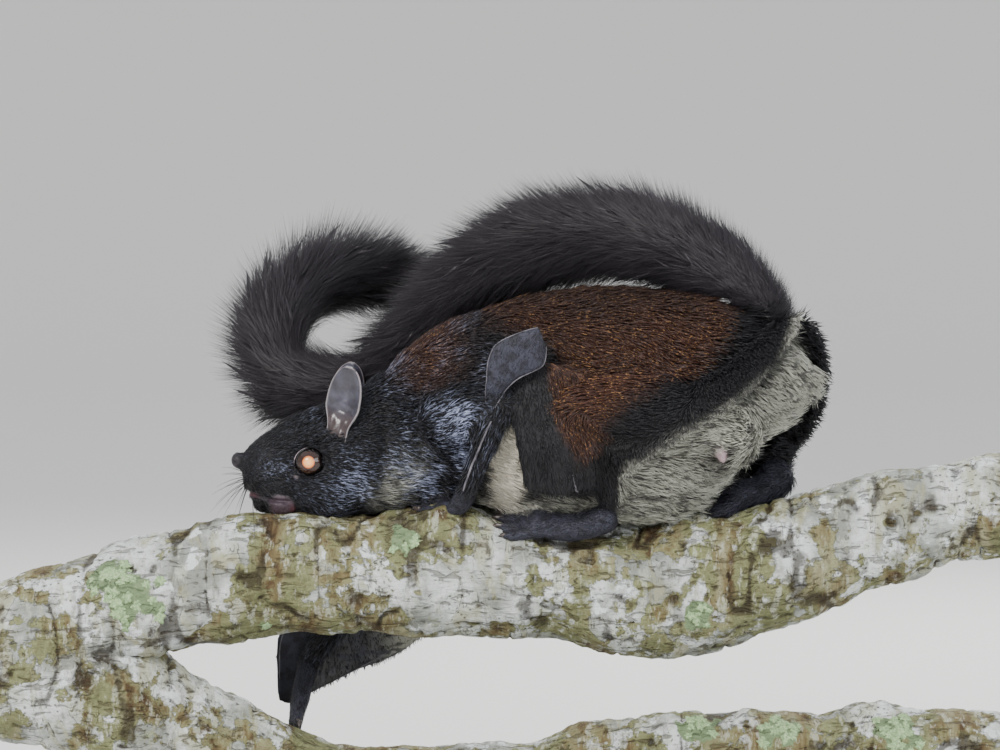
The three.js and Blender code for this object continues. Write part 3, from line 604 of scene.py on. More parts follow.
ZONES = {
    "head": coat([(-170, 2, 272), (-75, 2, 292)], 1.8, 6.5, 0.72, 0.18),
    "neck": coat([(-75, 2, 292), (-20, 2, 308)], 5.0, 9.5, 0.68, 0.24),
    "torso_front": coat([(-20, 2, 330), (88, 2, 324)], 6.0, 11.0, 0.7, 0.22),
    "torso_rear": coat([(88, 2, 330), (192, 2, 300)], 6.5, 13.5, 0.8, 0.26),
    "forelimb_left": coat([SHOULDER_LEFT, ELBOW_LEFT, WRIST_LEFT], 2.2, 8.0, 0.8, 0.18),
    "forelimb_right": coat([SHOULDER_RIGHT, ELBOW_RIGHT, WRIST_RIGHT], 2.2, 8.0, 0.8, 0.18),
    "hindlimb_left": coat([HIP_LEFT, KNEE_LEFT, ANKLE_LEFT], 3.5, 10.5, 0.8, 0.2),
    "hindlimb_right": coat([HIP_RIGHT, KNEE_RIGHT, ANKLE_RIGHT], 0.5, 10.5, 0.8, 0.36),
    "hand_left": coat([WRIST_LEFT, (-56, -18, 252)], 0.5, 3.0, 0.55, 0.12),
    "hand_right": coat([WRIST_RIGHT, (-128, 14, 122)], 0.5, 3.0, 0.55, 0.12),
    "foot_left": coat([(66, -38, 252), (-8, -24, 244)], -0.3, 3.0, 0.5, 0.12),
    "foot_right": coat([(170, 16, 272), (118, -2, 250)], -1.4, 5.0, 0.6, 0.3),
    "wingtip_left": coat([(-2, -56, 316), (17, -60, 366)], 0.15, 2.2, 0.34, 0.14, 1.6),
    "wingtip_right": coat([(-129, 61, 134), (-117, 65, 186)], 0.15, 2.2, 0.34, 0.14, 1.6),
    "patagium_left": coat([(20, -50, 340), (36, -57, 264)], 0.4, 5.0, 0.65, 0.14),
    "patagium_right": coat([(10, 50, 292), (30, 58, 205)], 0.4, 4.0, 0.6, 0.12, 0.8),
    "uropatagium_left": coat([(100, -44, 330), (118, -63, 300)], 0.8, 6.5, 0.75, 0.24),
    "uropatagium_right": coat([(170, 24, 336), (198, 24, 322)], 0.8, 7.5, 0.75, 0.36),
    "tail": coat(TAIL_ROUTE, 0.0, 22.0, 0.42, 1.0),
}


def flow_along(points, route):
    """The direction of the nearest stretch of a route, for each point."""
    route = array(route)
    starts, steps = route[:-1], np.diff(route, axis=0)
    best = np.full(len(points), 1e9)
    flow = np.zeros((len(points), 3))
    for start, step in zip(starts, steps):
        t = np.clip((points - start) @ step / (step @ step), 0, 1)
        far = np.linalg.norm(points - start - t[:, None] * step, axis=1)
        nearer = far < best
        flow[nearer] = unit(step)
        best = np.minimum(best, far)
    return flow


def evaluated_mesh(work, name):
    """A plain mesh of an object with its modifiers applied; the object is removed."""
    graph = bpy.context.evaluated_depsgraph_get()
    mesh = bpy.data.meshes.new_from_object(work.evaluated_get(graph))
    mesh.name = name
    bpy.data.objects.remove(work)
    return mesh


# How far each round of evening out moves a point towards its neighbours
SOFTNESS = {"hand": 0.12, "foot": 0.12, "wingtip": 0.2, "patagium": 0.2, "uropatagium": 0.2}
BODY_SOFTNESS, FACE_SOFTNESS = 0.5, 0.35

# The skin is finer in front of this x
FACE_X = -96

# The skin's remesh in millimetres, rounds of evening out, and the share of faces that is shown
SKIN = {"voxel": 1.5, "grow": 0.55, "even": 14, "kept": 0.53}


def tail_flesh(run):
    """Radius of the tail's flesh at a share of its length."""
    return TAIL["flesh_root"] + (TAIL["flesh_tip"] - TAIL["flesh_root"]) * run


def remeshed_body():
    """All flesh as one closed surface, with the tail's flesh along its route."""
    start = np.vstack([[150, 2, 330], [166, 2, 346], even_route(TAIL_ROUTE, 140)])
    reach = np.linspace(0, 1, len(start))
    radii = np.interp(np.linspace(0, 1, 150), reach, tail_flesh(reach))
    sources = [merged_copy(node, SKIN["grow"]) for node in FLESH_NODES]
    sources.append(tube(even_route(start, 150), radii, 14))
    owner = np.concatenate([[i] * len(faces) for i, (_, faces) in enumerate(sources)])
    points, faces = join_shapes(sources)
    nearest = BVHTree.FromPolygons(points.tolist(), faces)
    work = placed("work", make_mesh("work", points, faces))
    remesh = work.modifiers.new("one_surface", "REMESH")
    remesh.mode = "VOXEL"
    remesh.voxel_size = SKIN["voxel"] * MM
    return evaluated_mesh(work, "skin"), nearest, owner


def lightened(mesh, share):
    """A copy with fewer faces where the surface is nearly flat."""
    work = placed("work", mesh.copy())
    work.modifiers.new("fewer_faces", "DECIMATE").ratio = share
    return evaluated_mesh(work, "skin")


def drop_scraps(mesh):
    """Keeps only the largest connected surface."""
    edges = mesh_edges(mesh)
    label = np.arange(len(mesh.vertices))
    while True:
        low = np.minimum(label[edges[:, 0]], label[edges[:, 1]])
        fresh = label.copy()
        np.minimum.at(fresh, edges[:, 0], low)
        np.minimum.at(fresh, edges[:, 1], low)
        fresh = fresh[fresh]
        if (fresh == label).all():
            break
        label = fresh
    main = np.bincount(label).argmax()
    work = bmesh.new()
    work.from_mesh(mesh)
    loose = [v for v, mark in zip(work.verts, label) if mark != main]
    bmesh.ops.delete(work, geom=loose, context="VERTS")
    work.to_mesh(mesh)
    work.free()


def refine(mesh, wanted):
    """Divides the faces whose middle is wanted into four."""
    work = bmesh.new()
    work.from_mesh(mesh)
    chosen = [face for face in work.faces if wanted(face.calc_center_median() / MM)]
    edges = list({edge for face in chosen for edge in face.edges})
    bmesh.ops.subdivide_edges(work, edges=edges, cuts=1, use_grid_fill=True)
    work.to_mesh(mesh)
    work.free()


def zone_of(points, nearest, owner):
    """The index of the flesh node that each point belongs to; the tail comes last."""
    return array([owner[nearest.find_nearest(p)[2]] for p in points.tolist()]).astype(int)


def eye_frame(side):
    """The eyeball's centre and the way it looks."""
    centre = array([EYE["x"], BODY_Y + side * EYE["y"], EYE["z"]])
    return centre, unit(array(EYE["axis"]) * array([1, side, 1]))


def sink_eye(points, side):
    """Lids round each eye: the skin dips behind the eyeball and rolls over its edge."""
    centre, axis = eye_frame(side)
    forward = unit(np.cross(axis, [0, 0, 1])) * side
    from_centre = points - centre
    reach = np.linalg.norm(from_centre, axis=1)
    direction = from_centre / reach[:, None]
    angle = np.degrees(np.arccos(np.clip(direction @ axis, -1, 1)))
    bearing = np.arctan2(direction[:, 2], direction @ forward)
    opening = EYE["opening"] * (1 + 0.07 * np.cos(2 * (bearing - 0.35)))
    radius = EYE["radius"]
    inside = smoothstep(angle, opening, opening - 5)
    margin = smoothstep(angle, opening - 2, opening + 5) * smoothstep(angle, opening + 30, opening + 6)
    crease = bell(angle - opening - 15, 4.5) + 0.6 * bell(angle - opening - 27, 4)
    near = smoothstep(reach, radius * 2.0, radius * 1.25) * (direction @ axis > -0.1)
    lid_reach = np.maximum(reach * (1 - margin) + (radius + EYE["lid"]) * margin, radius + 0.7)
    lid_reach = lid_reach - 0.55 * crease
    lid_reach = lid_reach * (1 - inside) + (radius - 2.6) * inside
    new_reach = reach + (lid_reach - reach) * near
    points[:] = centre + direction * new_reach[:, None]
    return near * smoothstep(angle, opening + 16, opening + 7)


def mouth_height(x):
    back = np.clip((x - MOUTH["front"]) / (MOUTH["corner"] - MOUTH["front"]), 0, 1)
    return MOUTH["z"] - MOUTH["sag"] * np.sin(back * math.pi / 2) + 1.5 * back


def shape_mouth(points, normals):
    """The line of the mouth with a roll of lip on each side, over the round pad of the lower lip."""
    x, y, z = points.T
    off = z - mouth_height(x)
    along = smoothstep(x, MOUTH["corner"] + 4, MOUTH["corner"] - 5) * smoothstep(x, -166, -158)
    facing = smoothstep(np.abs(normals[:, 2]), 0.95, 0.7)
    groove = bell(off, MOUTH["width"])
    roll = bell(np.abs(off) - 2.3, 1.3)
    points += normals * ((0.7 * roll - MOUTH["depth"] * groove) * along * facing)[:, None]
    side = np.sign(y - BODY_Y)

    def beside(x_place, apart, z_place):
        return np.stack([np.full(len(x), x_place), BODY_Y + side * apart, np.full(len(x), z_place)], axis=1)

    pad_off = points - beside(LIP["x"], LIP["apart"] * 1.35, LIP["z"])
    pad = smoothstep(np.linalg.norm(pad_off, axis=1), LIP["radius"] * 1.12, LIP["radius"] * 0.8)
    hollow = blob(points, beside(LIP["x"] - 4, 17, LIP["z"] + 15), [11, 7, 6])
    points += normals * (0.9 * pad - 1.6 * hollow)[:, None]
    return bell(off, 1.6) * along, pad


def shape_nose(points, normals):
    """Nostrils as commas, and the cleft between them."""
    x, y, z = points.T
    bare = smoothstep(x, -156.5, -160.5) * smoothstep(np.abs(z - NOSE["z"]), 7.0, 4.5)
    for side in (-1, 1):
        place = array([NOSE["x"] - 3.0, BODY_Y + side * 3.6, NOSE["z"] - 0.8])
        points += array([1, 0, 0]) * (2.6 * blob(points, place, [4.0, 1.4, 1.6]))[:, None]
        wing = blob(points, place + array([0, side * 1.2, 0.5]), [3.5, 2.4, 2.6])
        points += normals * (0.6 * wing)[:, None]
    cleft = bell(y - BODY_Y, 0.7) * smoothstep(x, -153, -157) * smoothstep(z, 284, 279)
    points -= normals * (0.8 * cleft)[:, None]
    return bare


def is_in(zone, *wanted):
    """One where a zone is among those wanted, else zero."""
    return np.isin(zone, [ZONE_NAMES.index(name) for name in wanted]).astype(float)


def pale_marks(points, zone, ragged, hanging):
    """Rump, belly, cheek stripe and the hanging membrane, and the wedge behind the forearm."""
    x, y, z = points.T
    rump_line = np.interp(x + 0.4 * ragged, *array(PALE_EDGE).T, left=200)
    flank = is_in(zone, "torso_front", "torso_rear", "hindlimb_left", "uropatagium_left")
    rump = flank * smoothstep(z + 0.6 * ragged, rump_line + 4, rump_line - 5)
    rump *= 1 - 0.75 * blob(points, array(PAPILLA["at"]) - [3, 0, 9], [12, 18, 7])
    belly = is_in(zone, "torso_front", "torso_rear") * smoothstep(z + ragged, 268, 258)
    belly = np.maximum(belly, is_in(zone, "neck") * smoothstep(z + ragged, 257, 250))
    fleck = 0.25 + 0.75 * smoothstep(soft_noise(points, 3, 15), -0.35, 0.2)
    cheek = is_in(zone, "head", "neck") * bell(x + 68 - 0.42 * (z - 262) + 0.4 * ragged, 10)
    cheek *= bell(z - 268, 17) * 0.92 * fleck
    wedge_x = 8.5 - (305 - z) * 0.24
    wedge = is_in(zone, "neck", "torso_front") * smoothstep(np.abs(x - wedge_x) + 0.6 * ragged, 13, 8)
    wedge *= smoothstep(z, 311, 303) * smoothstep(y, 0, -8)
    # The hanging membrane's underside is pale towards the body; its lighter streaks below are painted
    # highlights on its folds
    under_wing = hanging * (0.1 + 0.85 * smoothstep(x + ragged, -84, -52))
    folds = soft_noise(points * array([1, 1, 0.3]), 6, 19)
    under_wing *= 0.5 + 0.5 * smoothstep(folds, -0.3, 0.3)
    return np.clip(np.maximum.reduce([rump, belly, cheek, wedge, under_wing]), 0, 1), wedge


def sheen_and_grizzle_marks(points, zone, nape):
    """Painted sheen and glints on the face, neck and forelimbs, laid on as silvered hair tips, and the
    grizzled nape.
    """
    x, _, z = points.T
    # Painted glints: a patchy mask that breaks the painted sheen into sparkles
    glint = soft_noise(points, 12, 13) + 0.5 * soft_noise(points, 4, 14)
    glint = 0.2 + 0.8 * smoothstep(glint, -0.2, 0.5)
    # Painted highlights on the face, from its listed spots
    face = 0.14 + sum(share * spot(points, *place) for share, place in FACE_SHEEN_SPOTS)
    face = is_in(zone, "head") * np.clip(face, 0, 1)
    # Painted sheen: a bright band down the neck and shoulder, a little over the whole neck, and some on the
    # forelimbs below
    sheen = is_in(zone, "neck", "forelimb_left", "torso_front") * 0.8 * bell(x + 30 - 0.8 * (z - 300), 22)
    sheen *= smoothstep(z, 372, 345) * smoothstep(x, 16, 2)
    sheen += 0.35 * is_in(zone, "neck")
    frost = np.clip(face + sheen + is_in(zone, "forelimb_left", "forelimb_right") * 0.25, 0, 1)
    frost *= np.where(is_in(zone, "head") > 0, 0.35 + 0.65 * glint, glint)
    # The nape's grizzle is its own colour: pale streaks among the chestnut
    strands = smoothstep(soft_noise(points * array([1, 1, 0.4]), 5, 17), 0, 0.5)
    grizzle = nape * is_in(zone, "neck", "torso_front") * strands
    return np.clip(frost + 0.5 * grizzle, 0, 1)


def markings(points, normals, zone):
    """Where the coat is warm, pale, plumed, velvety or dusky, where silver tips carry painted sheen and
    glints with the nape's grizzle, and where the throat gets painted light.
    """
    x, _, z = points.T
    ragged = soft_noise(points, 12, 5) * 5 + soft_noise(points, 5, 9) * 3
    saddle_edge = np.interp(x + 0.5 * ragged, *array(SADDLE_EDGE).T, left=420, right=420)
    saddle = smoothstep(z + ragged, saddle_edge - 9, saddle_edge + 13)
    nape = bell(x + 47, 20) * smoothstep(z + ragged, 316, 334)
    body = is_in(zone, "neck", "torso_front", "torso_rear", "hindlimb_left", "hindlimb_right")
    strip = is_in(zone, "patagium_left", "patagium_right") * saddle
    warm = np.clip(body * np.maximum(saddle, nape * 0.75) + strip, 0, 1)
    hanging = is_in(zone, "patagium_right") * smoothstep(z, 300, 270)
    hanging *= 0.2 + 0.8 * smoothstep(normals[:, 1], 0.35, -0.35)
    pale, wedge = pale_marks(points, zone, ragged, hanging)
    warm *= 1 - pale
    velvet = is_in(zone, "wingtip_left", "wingtip_right") + 0.85 * hanging
    velvet += 0.95 * is_in(zone, "foot_left", "foot_right", "hand_left", "hand_right")
    # The silver tips hold painted sheen and glints with the nape's grizzle; the throat's lightest share is
    # painted light
    return {
        "warm": warm, "pale": pale, "frost": sheen_and_grizzle_marks(points, zone, nape),
        "plume": is_in(zone, "tail"), "velvet": velvet,
        "dusk": warm * smoothstep(z + ragged, 356, 386), "light": np.clip(wedge * 0.85, 0, 1),
    }


def smoothed_skin():
    """The body's surface, evened out, with its points, edges and zones."""
    mesh, nearest, owner = remeshed_body()
    drop_scraps(mesh)
    refine(mesh, lambda centre: centre.x < FACE_X)
    points, edges = mesh_points(mesh), mesh_edges(mesh)
    zone = zone_of(points, nearest, owner)
    softness = array([SOFTNESS.get(name.split("_")[0], BODY_SOFTNESS) for name in ZONE_NAMES])
    share = spread_out(softness[zone], edges, 4)
    share = np.where(points[:, 0] < FACE_X, FACE_SOFTNESS, share)
    points = spread_out(points, edges, SKIN["even"], share)
    set_points(mesh, points)
    return mesh, points, edges, zone


def coat_fields(points, normals, edges, zone):
    """Depth, length, width, lift and density of the coat, with soft changes between the zones."""
    keys = ("depth", "length", "width", "lift", "density")
    values = array([[ZONES[name][key] for key in keys] for name in ZONE_NAMES])
    fields = spread_out(values[zone], edges, 16)
    muzzle = smoothstep(points[:, 0], -112, -150)
    fields[:, 0] -= 1.2 * muzzle * (fields[:, 0] > 1.2)
    fields[:, 0] -= 3.5 * smoothstep(-normals[:, 2], 0.2, 0.7) * bell(points[:, 0] + 68, 16)
    fields[:, 1] *= 1 - 0.62 * muzzle
    fields[:, 2] *= 1 - 0.3 * muzzle
    return fields


def coat_lie(points, normals, edges, zone):
    """Which way the hairs lie: along each part, back from the nose, and down the flanks."""
    lie = np.zeros_like(points)
    for index, name in enumerate(ZONE_NAMES):
        chosen = zone == index
        lie[chosen] = flow_along(points[chosen], ZONES[name]["lie"])
    face = is_in(zone, "head") > 0
    lie[face] = unit(points[face] - array([-172, BODY_Y, 274]))
    trunk = is_in(zone, "neck", "torso_front", "torso_rear") > 0
    lie[trunk] += array([0, 0, -0.35]) * np.abs(normals[trunk][:, 1:2])
    sway = np.stack([soft_noise(points, 16, seed) for seed in (21, 22, 23)], axis=1)
    lie = spread_out(lie, edges, 12) + 0.3 * sway
    return unit(lie - normals * (lie * normals).sum(axis=1, keepdims=True))


def nearest_step(route, points):
    """The index of the nearest point of a route, for each point."""
    return array([np.argmin(((route - point) ** 2).sum(axis=1)) for point in points])


def tail_hair(points, normals, on_tail):
    """Length of the tail's hair: short at the root, at the end and on the far side."""
    run = np.zeros(len(points))
    route = even_route(TAIL_ROUTE, TAIL["steps"])
    run[on_tail] = nearest_step(route, points[on_tail]) / (TAIL["steps"] - 1)
    fur = TAIL["fur"] * (0.6 + 0.4 * smoothstep(run, 0, 0.18))
    fur *= 0.12 + 0.88 * smoothstep(run, 1.09, 0.84)
    fur *= 1 - 0.26 * smoothstep(normals[:, 1], 0.1, 0.9)
    fur *= 1 + 0.15 * bell(points[:, 0] - 40, 34) * smoothstep(-normals[:, 2], 0.2, 0.9)
    return (fur - tail_flesh(run)) * 1.06


def build_skin(finish):
    """Adds the skin, and returns a finer copy with all the fields that the coat grows by."""
    mesh, points, edges, zone = smoothed_skin()
    normals = unit(spread_out(mesh_normals(mesh), edges, 6))
    fields = coat_fields(points, normals, edges, zone)
    points = points - normals * fields[:, :1]
    x, _, z = PAPILLA["at"]
    papilla = spot(points, x, z, PAPILLA["reach"], PAPILLA["reach"]) * (normals[:, 1] < -0.2)
    papilla *= is_in(zone, "torso_rear", "hindlimb_left", "uropatagium_left")
    points = points + normals * (PAPILLA["rise"] * papilla)[:, None]
    lid = np.maximum(sink_eye(points, -1), sink_eye(points, 1))
    set_points(mesh, points)
    normals = mesh_normals(mesh)
    lip, pad = shape_mouth(points, normals)
    bare_nose = shape_nose(points, normals)
    set_points(mesh, points)
    normals = unit(mesh_normals(mesh))

    streak = spot(points, -123.5, 272.5, 3.2, 2.2) * is_in(zone, "head")
    lid = np.maximum.reduce([lid, 0.6 * streak, 0.9 * papilla])
    bare = np.clip(np.maximum.reduce([lid, lip * 0.8, pad, bare_nose, 1.2 * papilla]), 0, 1)
    front_lip = spot(points, -152, 260, 4, 4.5)
    corner = spot(points, -123.5, 251.5, 3, 3.5)
    pink = np.clip(0.8 * front_lip + 0.5 * corner + 0.05 * pad + 0.7 * papilla, 0, 1)
    marks = {
        name: spread_out(values, edges, 3) for name, values in markings(points, normals, zone).items()
    }

    body_coat = array([ZONES["torso_front"][key] for key in ("length", "width", "lift")])
    on_strip = is_in(zone, "patagium_left") * marks["warm"]
    fields[:, 1:4] += on_strip[:, None] * (body_coat - fields[:, 1:4])
    on_tail = is_in(zone, "tail") > 0
    length = np.where(on_tail, tail_hair(points, normals, on_tail), fields[:, 1])
    uneven = np.where(on_tail, 0.4, 1.0)
    all_fields = {
        **marks, "bare": bare, "pink": pink, "lid": lid, "up": normals,
        "lie": coat_lie(points, normals, edges, zone),
        "coat_length": length * MM * (1 + 0.18 * uneven * soft_noise(points, 9, 31)),
        "coat_width": fields[:, 2] * MM,
        "coat_lift": fields[:, 3] * (1 + 0.25 * (1 - on_tail) * soft_noise(points, 11, 33)),
        "coat_density": fields[:, 4] * smoothstep(bare, 0.5, 0.15),
    }
    for name, values in all_fields.items():
        set_field(mesh, name, values)
    mesh.polygons.foreach_set("use_smooth", [True] * len(mesh.polygons))
    add_piece("skin", lightened(mesh, SKIN["kept"]), finish, FLESH_NODES + TAIL_NODES)
    return mesh, zone


# Thin pale rims along the free edges of the membranes; the third one runs through fur
RIM = {"radius": 0.42, "reach": 1.2, "lift": 0.25, "points": 40, "wingtip_middle": (8, -57, 344),
       "furred": "free_edge_3", "furred_lift": 2.2, "furred_width": 1.7}


def rim_finish():
    finish, tree = new_finish("membrane_rim")
    patches = noise(tree, object_place(tree), 120.0, 3.0)
    tint = ramp(tree, patches, [(0.3, colour(58, 55, 62)), (0.7, colour(126, 122, 130))])
    return dressed(finish, {"Base Color": tint, "Roughness": 0.42})


def build_rims(skin):
    finish = rim_finish()
    points, normals = mesh_points(skin), mesh_normals(skin)
    places = KDTree(len(points))
    for index, point in enumerate(points):
        places.insert(point, index)
    places.balance()
    edges = {"wingtip_front": WINGTIP_FRONT, "wingtip_back": WINGTIP_BACK}
    edges.update({f"free_edge_{index + 1}": edge for index, edge in enumerate(FREE_EDGES)})
    taper = 0.35 + 0.65 * np.sin(np.linspace(0.05, 0.95, RIM["points"]) * math.pi) ** 0.5
    for name, edge in edges.items():
        route = even_route(edge, RIM["points"])
        if name.startswith("wingtip"):
            route = route + RIM["reach"] * unit(route - array(RIM["wingtip_middle"]))
        found = [places.find(point)[1] for point in route]
        furred = name == RIM["furred"]
        lift = RIM["furred_lift"] if furred else RIM["lift"]
        width = RIM["radius"] * (RIM["furred_width"] if furred else 1.0)
        rim = tube(evened_line(points[found] + lift * normals[found], 6), width * taper, sides=6)
        add_piece(f"rim_{name}", make_mesh(f"rim_{name}", *rim), finish)


def evened_line(route, rounds):
    """A route with its small steps evened and its ends kept."""
    for _ in range(rounds):
        route[1:-1] = 0.5 * route[1:-1] + 0.25 * (route[:-2] + route[2:])
    return route


# Tufts: thin closed locks of a few faces, scattered over the skin along its lie
def tuft_mesh(name, wave, curl, steps, halves, thickness):
    """A unit tuft along +X that leaves the skin and bends over; it points away from its root."""
    points, run = [], []
    for step, half in zip(steps[:-1], halves):
        reach = max(step, 0)
        rise = -0.04 if step < 0 else 1 - (1 - reach) ** 2
        sway = wave * math.sin(reach * 2.2 * math.pi)
        points += [
            (step, sway - half, rise - thickness),
            (step, sway + half, rise - thickness),
            (step, sway, rise + thickness),
        ]
        run += [reach] * 3
    points.append((1.0, curl, 1.0))
    run.append(1.0)
    faces = [(0, 1, 2)]
    last = len(points) - 4
    for k in range(3):
        following = (k + 1) % 3
        for ring in range(0, last, 3):
            faces.append((ring + k, ring + k + 3, ring + following + 3, ring + following))
        faces.append((last + k, last + 3, last + following))
    mesh = smooth_mesh(name, points, faces)
    set_field(mesh, "strand", run)
    set_field(mesh, "leaf", [(reach, point[1] + 0.5, 0) for reach, point in zip(run, points)])
    return mesh


def collected(name, shapes):
    """A collection of meshes to scatter."""
    family = bpy.data.collections.new(name)
    for shape in shapes:
        family.objects.link(bpy.data.objects.new(shape.name, shape))
    return family


def tuft_family(name, waves, steps=(-0.05, 0.48, 1.0), halves=(0.32, 0.5), thickness=0.07):
    return collected(name, [
        tuft_mesh(f"{name}_{index}", wave, curl, steps, halves, thickness)
        for index, (wave, curl) in enumerate(waves)
    ])


# Geometry Nodes that the coat and the lichen share
def named(tree, name, kind="FLOAT"):
    node = add_node(tree, "GeometryNodeInputNamedAttribute", {"Name": name}, data_type=kind)
    return node.outputs[0]


def float_input(node, name):
    """The plain number among a node's inputs of one name."""
    return next(socket for socket in node.inputs if socket.name == name and socket.type == "VALUE")


def random_value(tree, seed, low, high):
    node = add_node(tree, "FunctionNodeRandomValue", {"Seed": seed}, data_type="FLOAT")
    connect(tree, float_input(node, "Min"), low)
    connect(tree, float_input(node, "Max"), high)
    return node.outputs[1]


def scattered(tree, surface, density, seed):
    """Random points on a surface."""
    points = add_node(
        tree, "GeometryNodeDistributePointsOnFaces", {"Mesh": surface, "Seed": seed},
        distribute_method="RANDOM",
    )
    connect(tree, float_input(points, "Density"), density)
    return points.outputs


def stored(tree, geometry, name, value, kind="FLOAT", domain="POINT"):
    return add_node(
        tree, "GeometryNodeStoreNamedAttribute", {"Geometry": geometry, "Name": name, "Value": value},
        data_type=kind, domain=domain,
    ).outputs[0]


def planted(tree, points, collection, rotation, size):
    """Real copies of a collection's shapes on points."""
    family = add_node(tree, "GeometryNodeCollectionInfo", {
        "Collection": collection, "Separate Children": True, "Reset Children": True,
    })
    laid = add_node(tree, "GeometryNodeInstanceOnPoints", {
        "Points": points, "Instance": family.outputs[0], "Pick Instance": True,
        "Rotation": rotation, "Scale": size,
    })
    return add_node(tree, "GeometryNodeRealizeInstances", {0: laid.outputs[0]}).outputs[0]


def close_tree(tree, given, result, geometry):
    finished = add_node(tree, "GeometryNodeSetMaterial", {
        "Geometry": geometry, "Material": given["Finish"],
    })
    tree.links.new(finished.outputs[0], result.inputs[0])
    return tree


def coat_tree():
    """Scatters tufts over a skin, laid along its lie and sized by its own fields."""
    tree, group_input, result = new_group(
        "scatter_tufts", "GeometryNodeTree",
        [
            ("Skin", "NodeSocketGeometry", None),
            ("Tufts", "NodeSocketCollection", None),
            ("Tufts per Square Metre", "NodeSocketFloat", 200000.0),
            ("Spread", "NodeSocketFloat", 0.25),
            ("Lowest Rise", "NodeSocketFloat", 0.5),
            ("Highest Rise", "NodeSocketFloat", 1.5),
            ("Length Share", "NodeSocketFloat", 1.0),
            ("Width Share", "NodeSocketFloat", 1.0),
            ("Seed", "NodeSocketInt", 1),
            ("Bake Patch", "NodeSocketFloat", 0.003),
            ("Finish", "NodeSocketMaterial", None),
        ],
        [("Coat", "NodeSocketGeometry")],
    )
    given = group_input.outputs

    def random(low, high, salt):
        return random_value(tree, maths(tree, "ADD", given["Seed"], float(salt)), low, high)

    def vector(operation, **inputs):
        keys = {"a": 0, "b": 1, "scale": "Scale"}
        values = {keys[key]: value for key, value in inputs.items()}
        return add_node(tree, "ShaderNodeVectorMath", values, operation=operation).outputs[0]

    density = times(tree, named(tree, "coat_density"), given["Tufts per Square Metre"])
    points = scattered(tree, given["Skin"], density, given["Seed"])
    up, lie = named(tree, "up", "FLOAT_VECTOR"), named(tree, "lie", "FLOAT_VECTOR")
    spread = times(tree, random(-1.0, 1.0, 11), given["Spread"])
    aside = vector("SCALE", a=vector("CROSS_PRODUCT", a=up, b=lie), scale=spread)
    turn = add_node(
        tree, "FunctionNodeAxesToRotation", {0: up, 1: vector("ADD", a=lie, b=aside)},
        primary_axis="Z", secondary_axis="X",
    )
    length = times(tree, named(tree, "coat_length"), random(0.72, 1.12, 23), given["Length Share"])
    width = times(tree, named(tree, "coat_width"), random(0.7, 1.3, 37), given["Width Share"])
    rise = random(given["Lowest Rise"], given["Highest Rise"], 41)
    height = times(tree, length, named(tree, "coat_lift"), rise)
    size = add_node(tree, "ShaderNodeCombineXYZ", {0: length, 1: width, 2: height})
    marked = stored(tree, points["Points"], "tone", random(0.0, 1.0, 53))
    root_place = named(tree, "OFBake", "FLOAT_VECTOR")
    marked = stored(tree, marked, "root_place", root_place, "FLOAT_VECTOR")
    real = planted(tree, marked, given["Tufts"], turn.outputs[0], size.outputs[0])
    corner = vector("SUBTRACT", a=named(tree, "leaf", "FLOAT_VECTOR"), b=(0.5, 0.5, 0.0))
    corner = vector("SCALE", a=corner, scale=given["Bake Patch"])
    corner = vector("ADD", a=corner, b=named(tree, "root_place", "FLOAT_VECTOR"))
    mapped = stored(tree, real, "OFBake", corner, "FLOAT2", "CORNER")
    return close_tree(tree, given, result, mapped)


def run_tree(mesh, tree, values, name):
    """The plain mesh that a Geometry Nodes tree makes of a mesh, with its inputs set by identifier."""
    work = placed("work", mesh)
    modifier = work.modifiers.new(name, "NODES")
    modifier.node_group = tree
    for item in tree.interface.items_tree:
        if item.item_type == "SOCKET" and item.in_out == "INPUT" and item.name in values:
            modifier[item.identifier] = values[item.name]
    return evaluated_mesh(work, name)


def unwrapped(mesh):
    """Gives a mesh a UV map from its own shape."""
    work = placed("work", mesh)
    bpy.ops.object.select_all(action="DESELECT")
    bpy.context.view_layer.objects.active = work
    work.select_set(True)
    mesh.uv_layers.new(name="OFBake")
    bpy.ops.object.mode_set(mode="EDIT")
    bpy.ops.mesh.select_all(action="SELECT")
    bpy.ops.uv.smart_project(angle_limit=math.radians(72), island_margin=0.004)
    bpy.ops.object.mode_set(mode="OBJECT")
    bpy.data.objects.remove(work)


def face_zones(mesh, zone):
    """The zone of each face, by its first corner."""
    starts = read_all(mesh.polygons, "loop_start", 1, np.int32).ravel()
    corners = read_all(mesh.loops, "vertex_index", 1, np.int32).ravel()
    return zone[corners[starts]]


def part_of_mesh(mesh, keep, name):
    """A copy of a mesh with only some of its faces."""
    part = mesh.copy()
    part.name = name
    work = bmesh.new()
    work.from_mesh(part)
    gone = [face for face, kept in zip(work.faces, keep) if not kept]
    bmesh.ops.delete(work, geom=gone, context="FACES")
    work.to_mesh(part)
    work.free()
    return part


SLEEK = {"family": "sleek", "spread": 0.3, "rise": (0.5, 1.5)}
WAVY = {"family": "wavy", "spread": 0.4, "rise": (0.5, 1.5)}
LOOSE = {"family": "sleek", "spread": 0.5, "rise": (0.3, 1.8)}

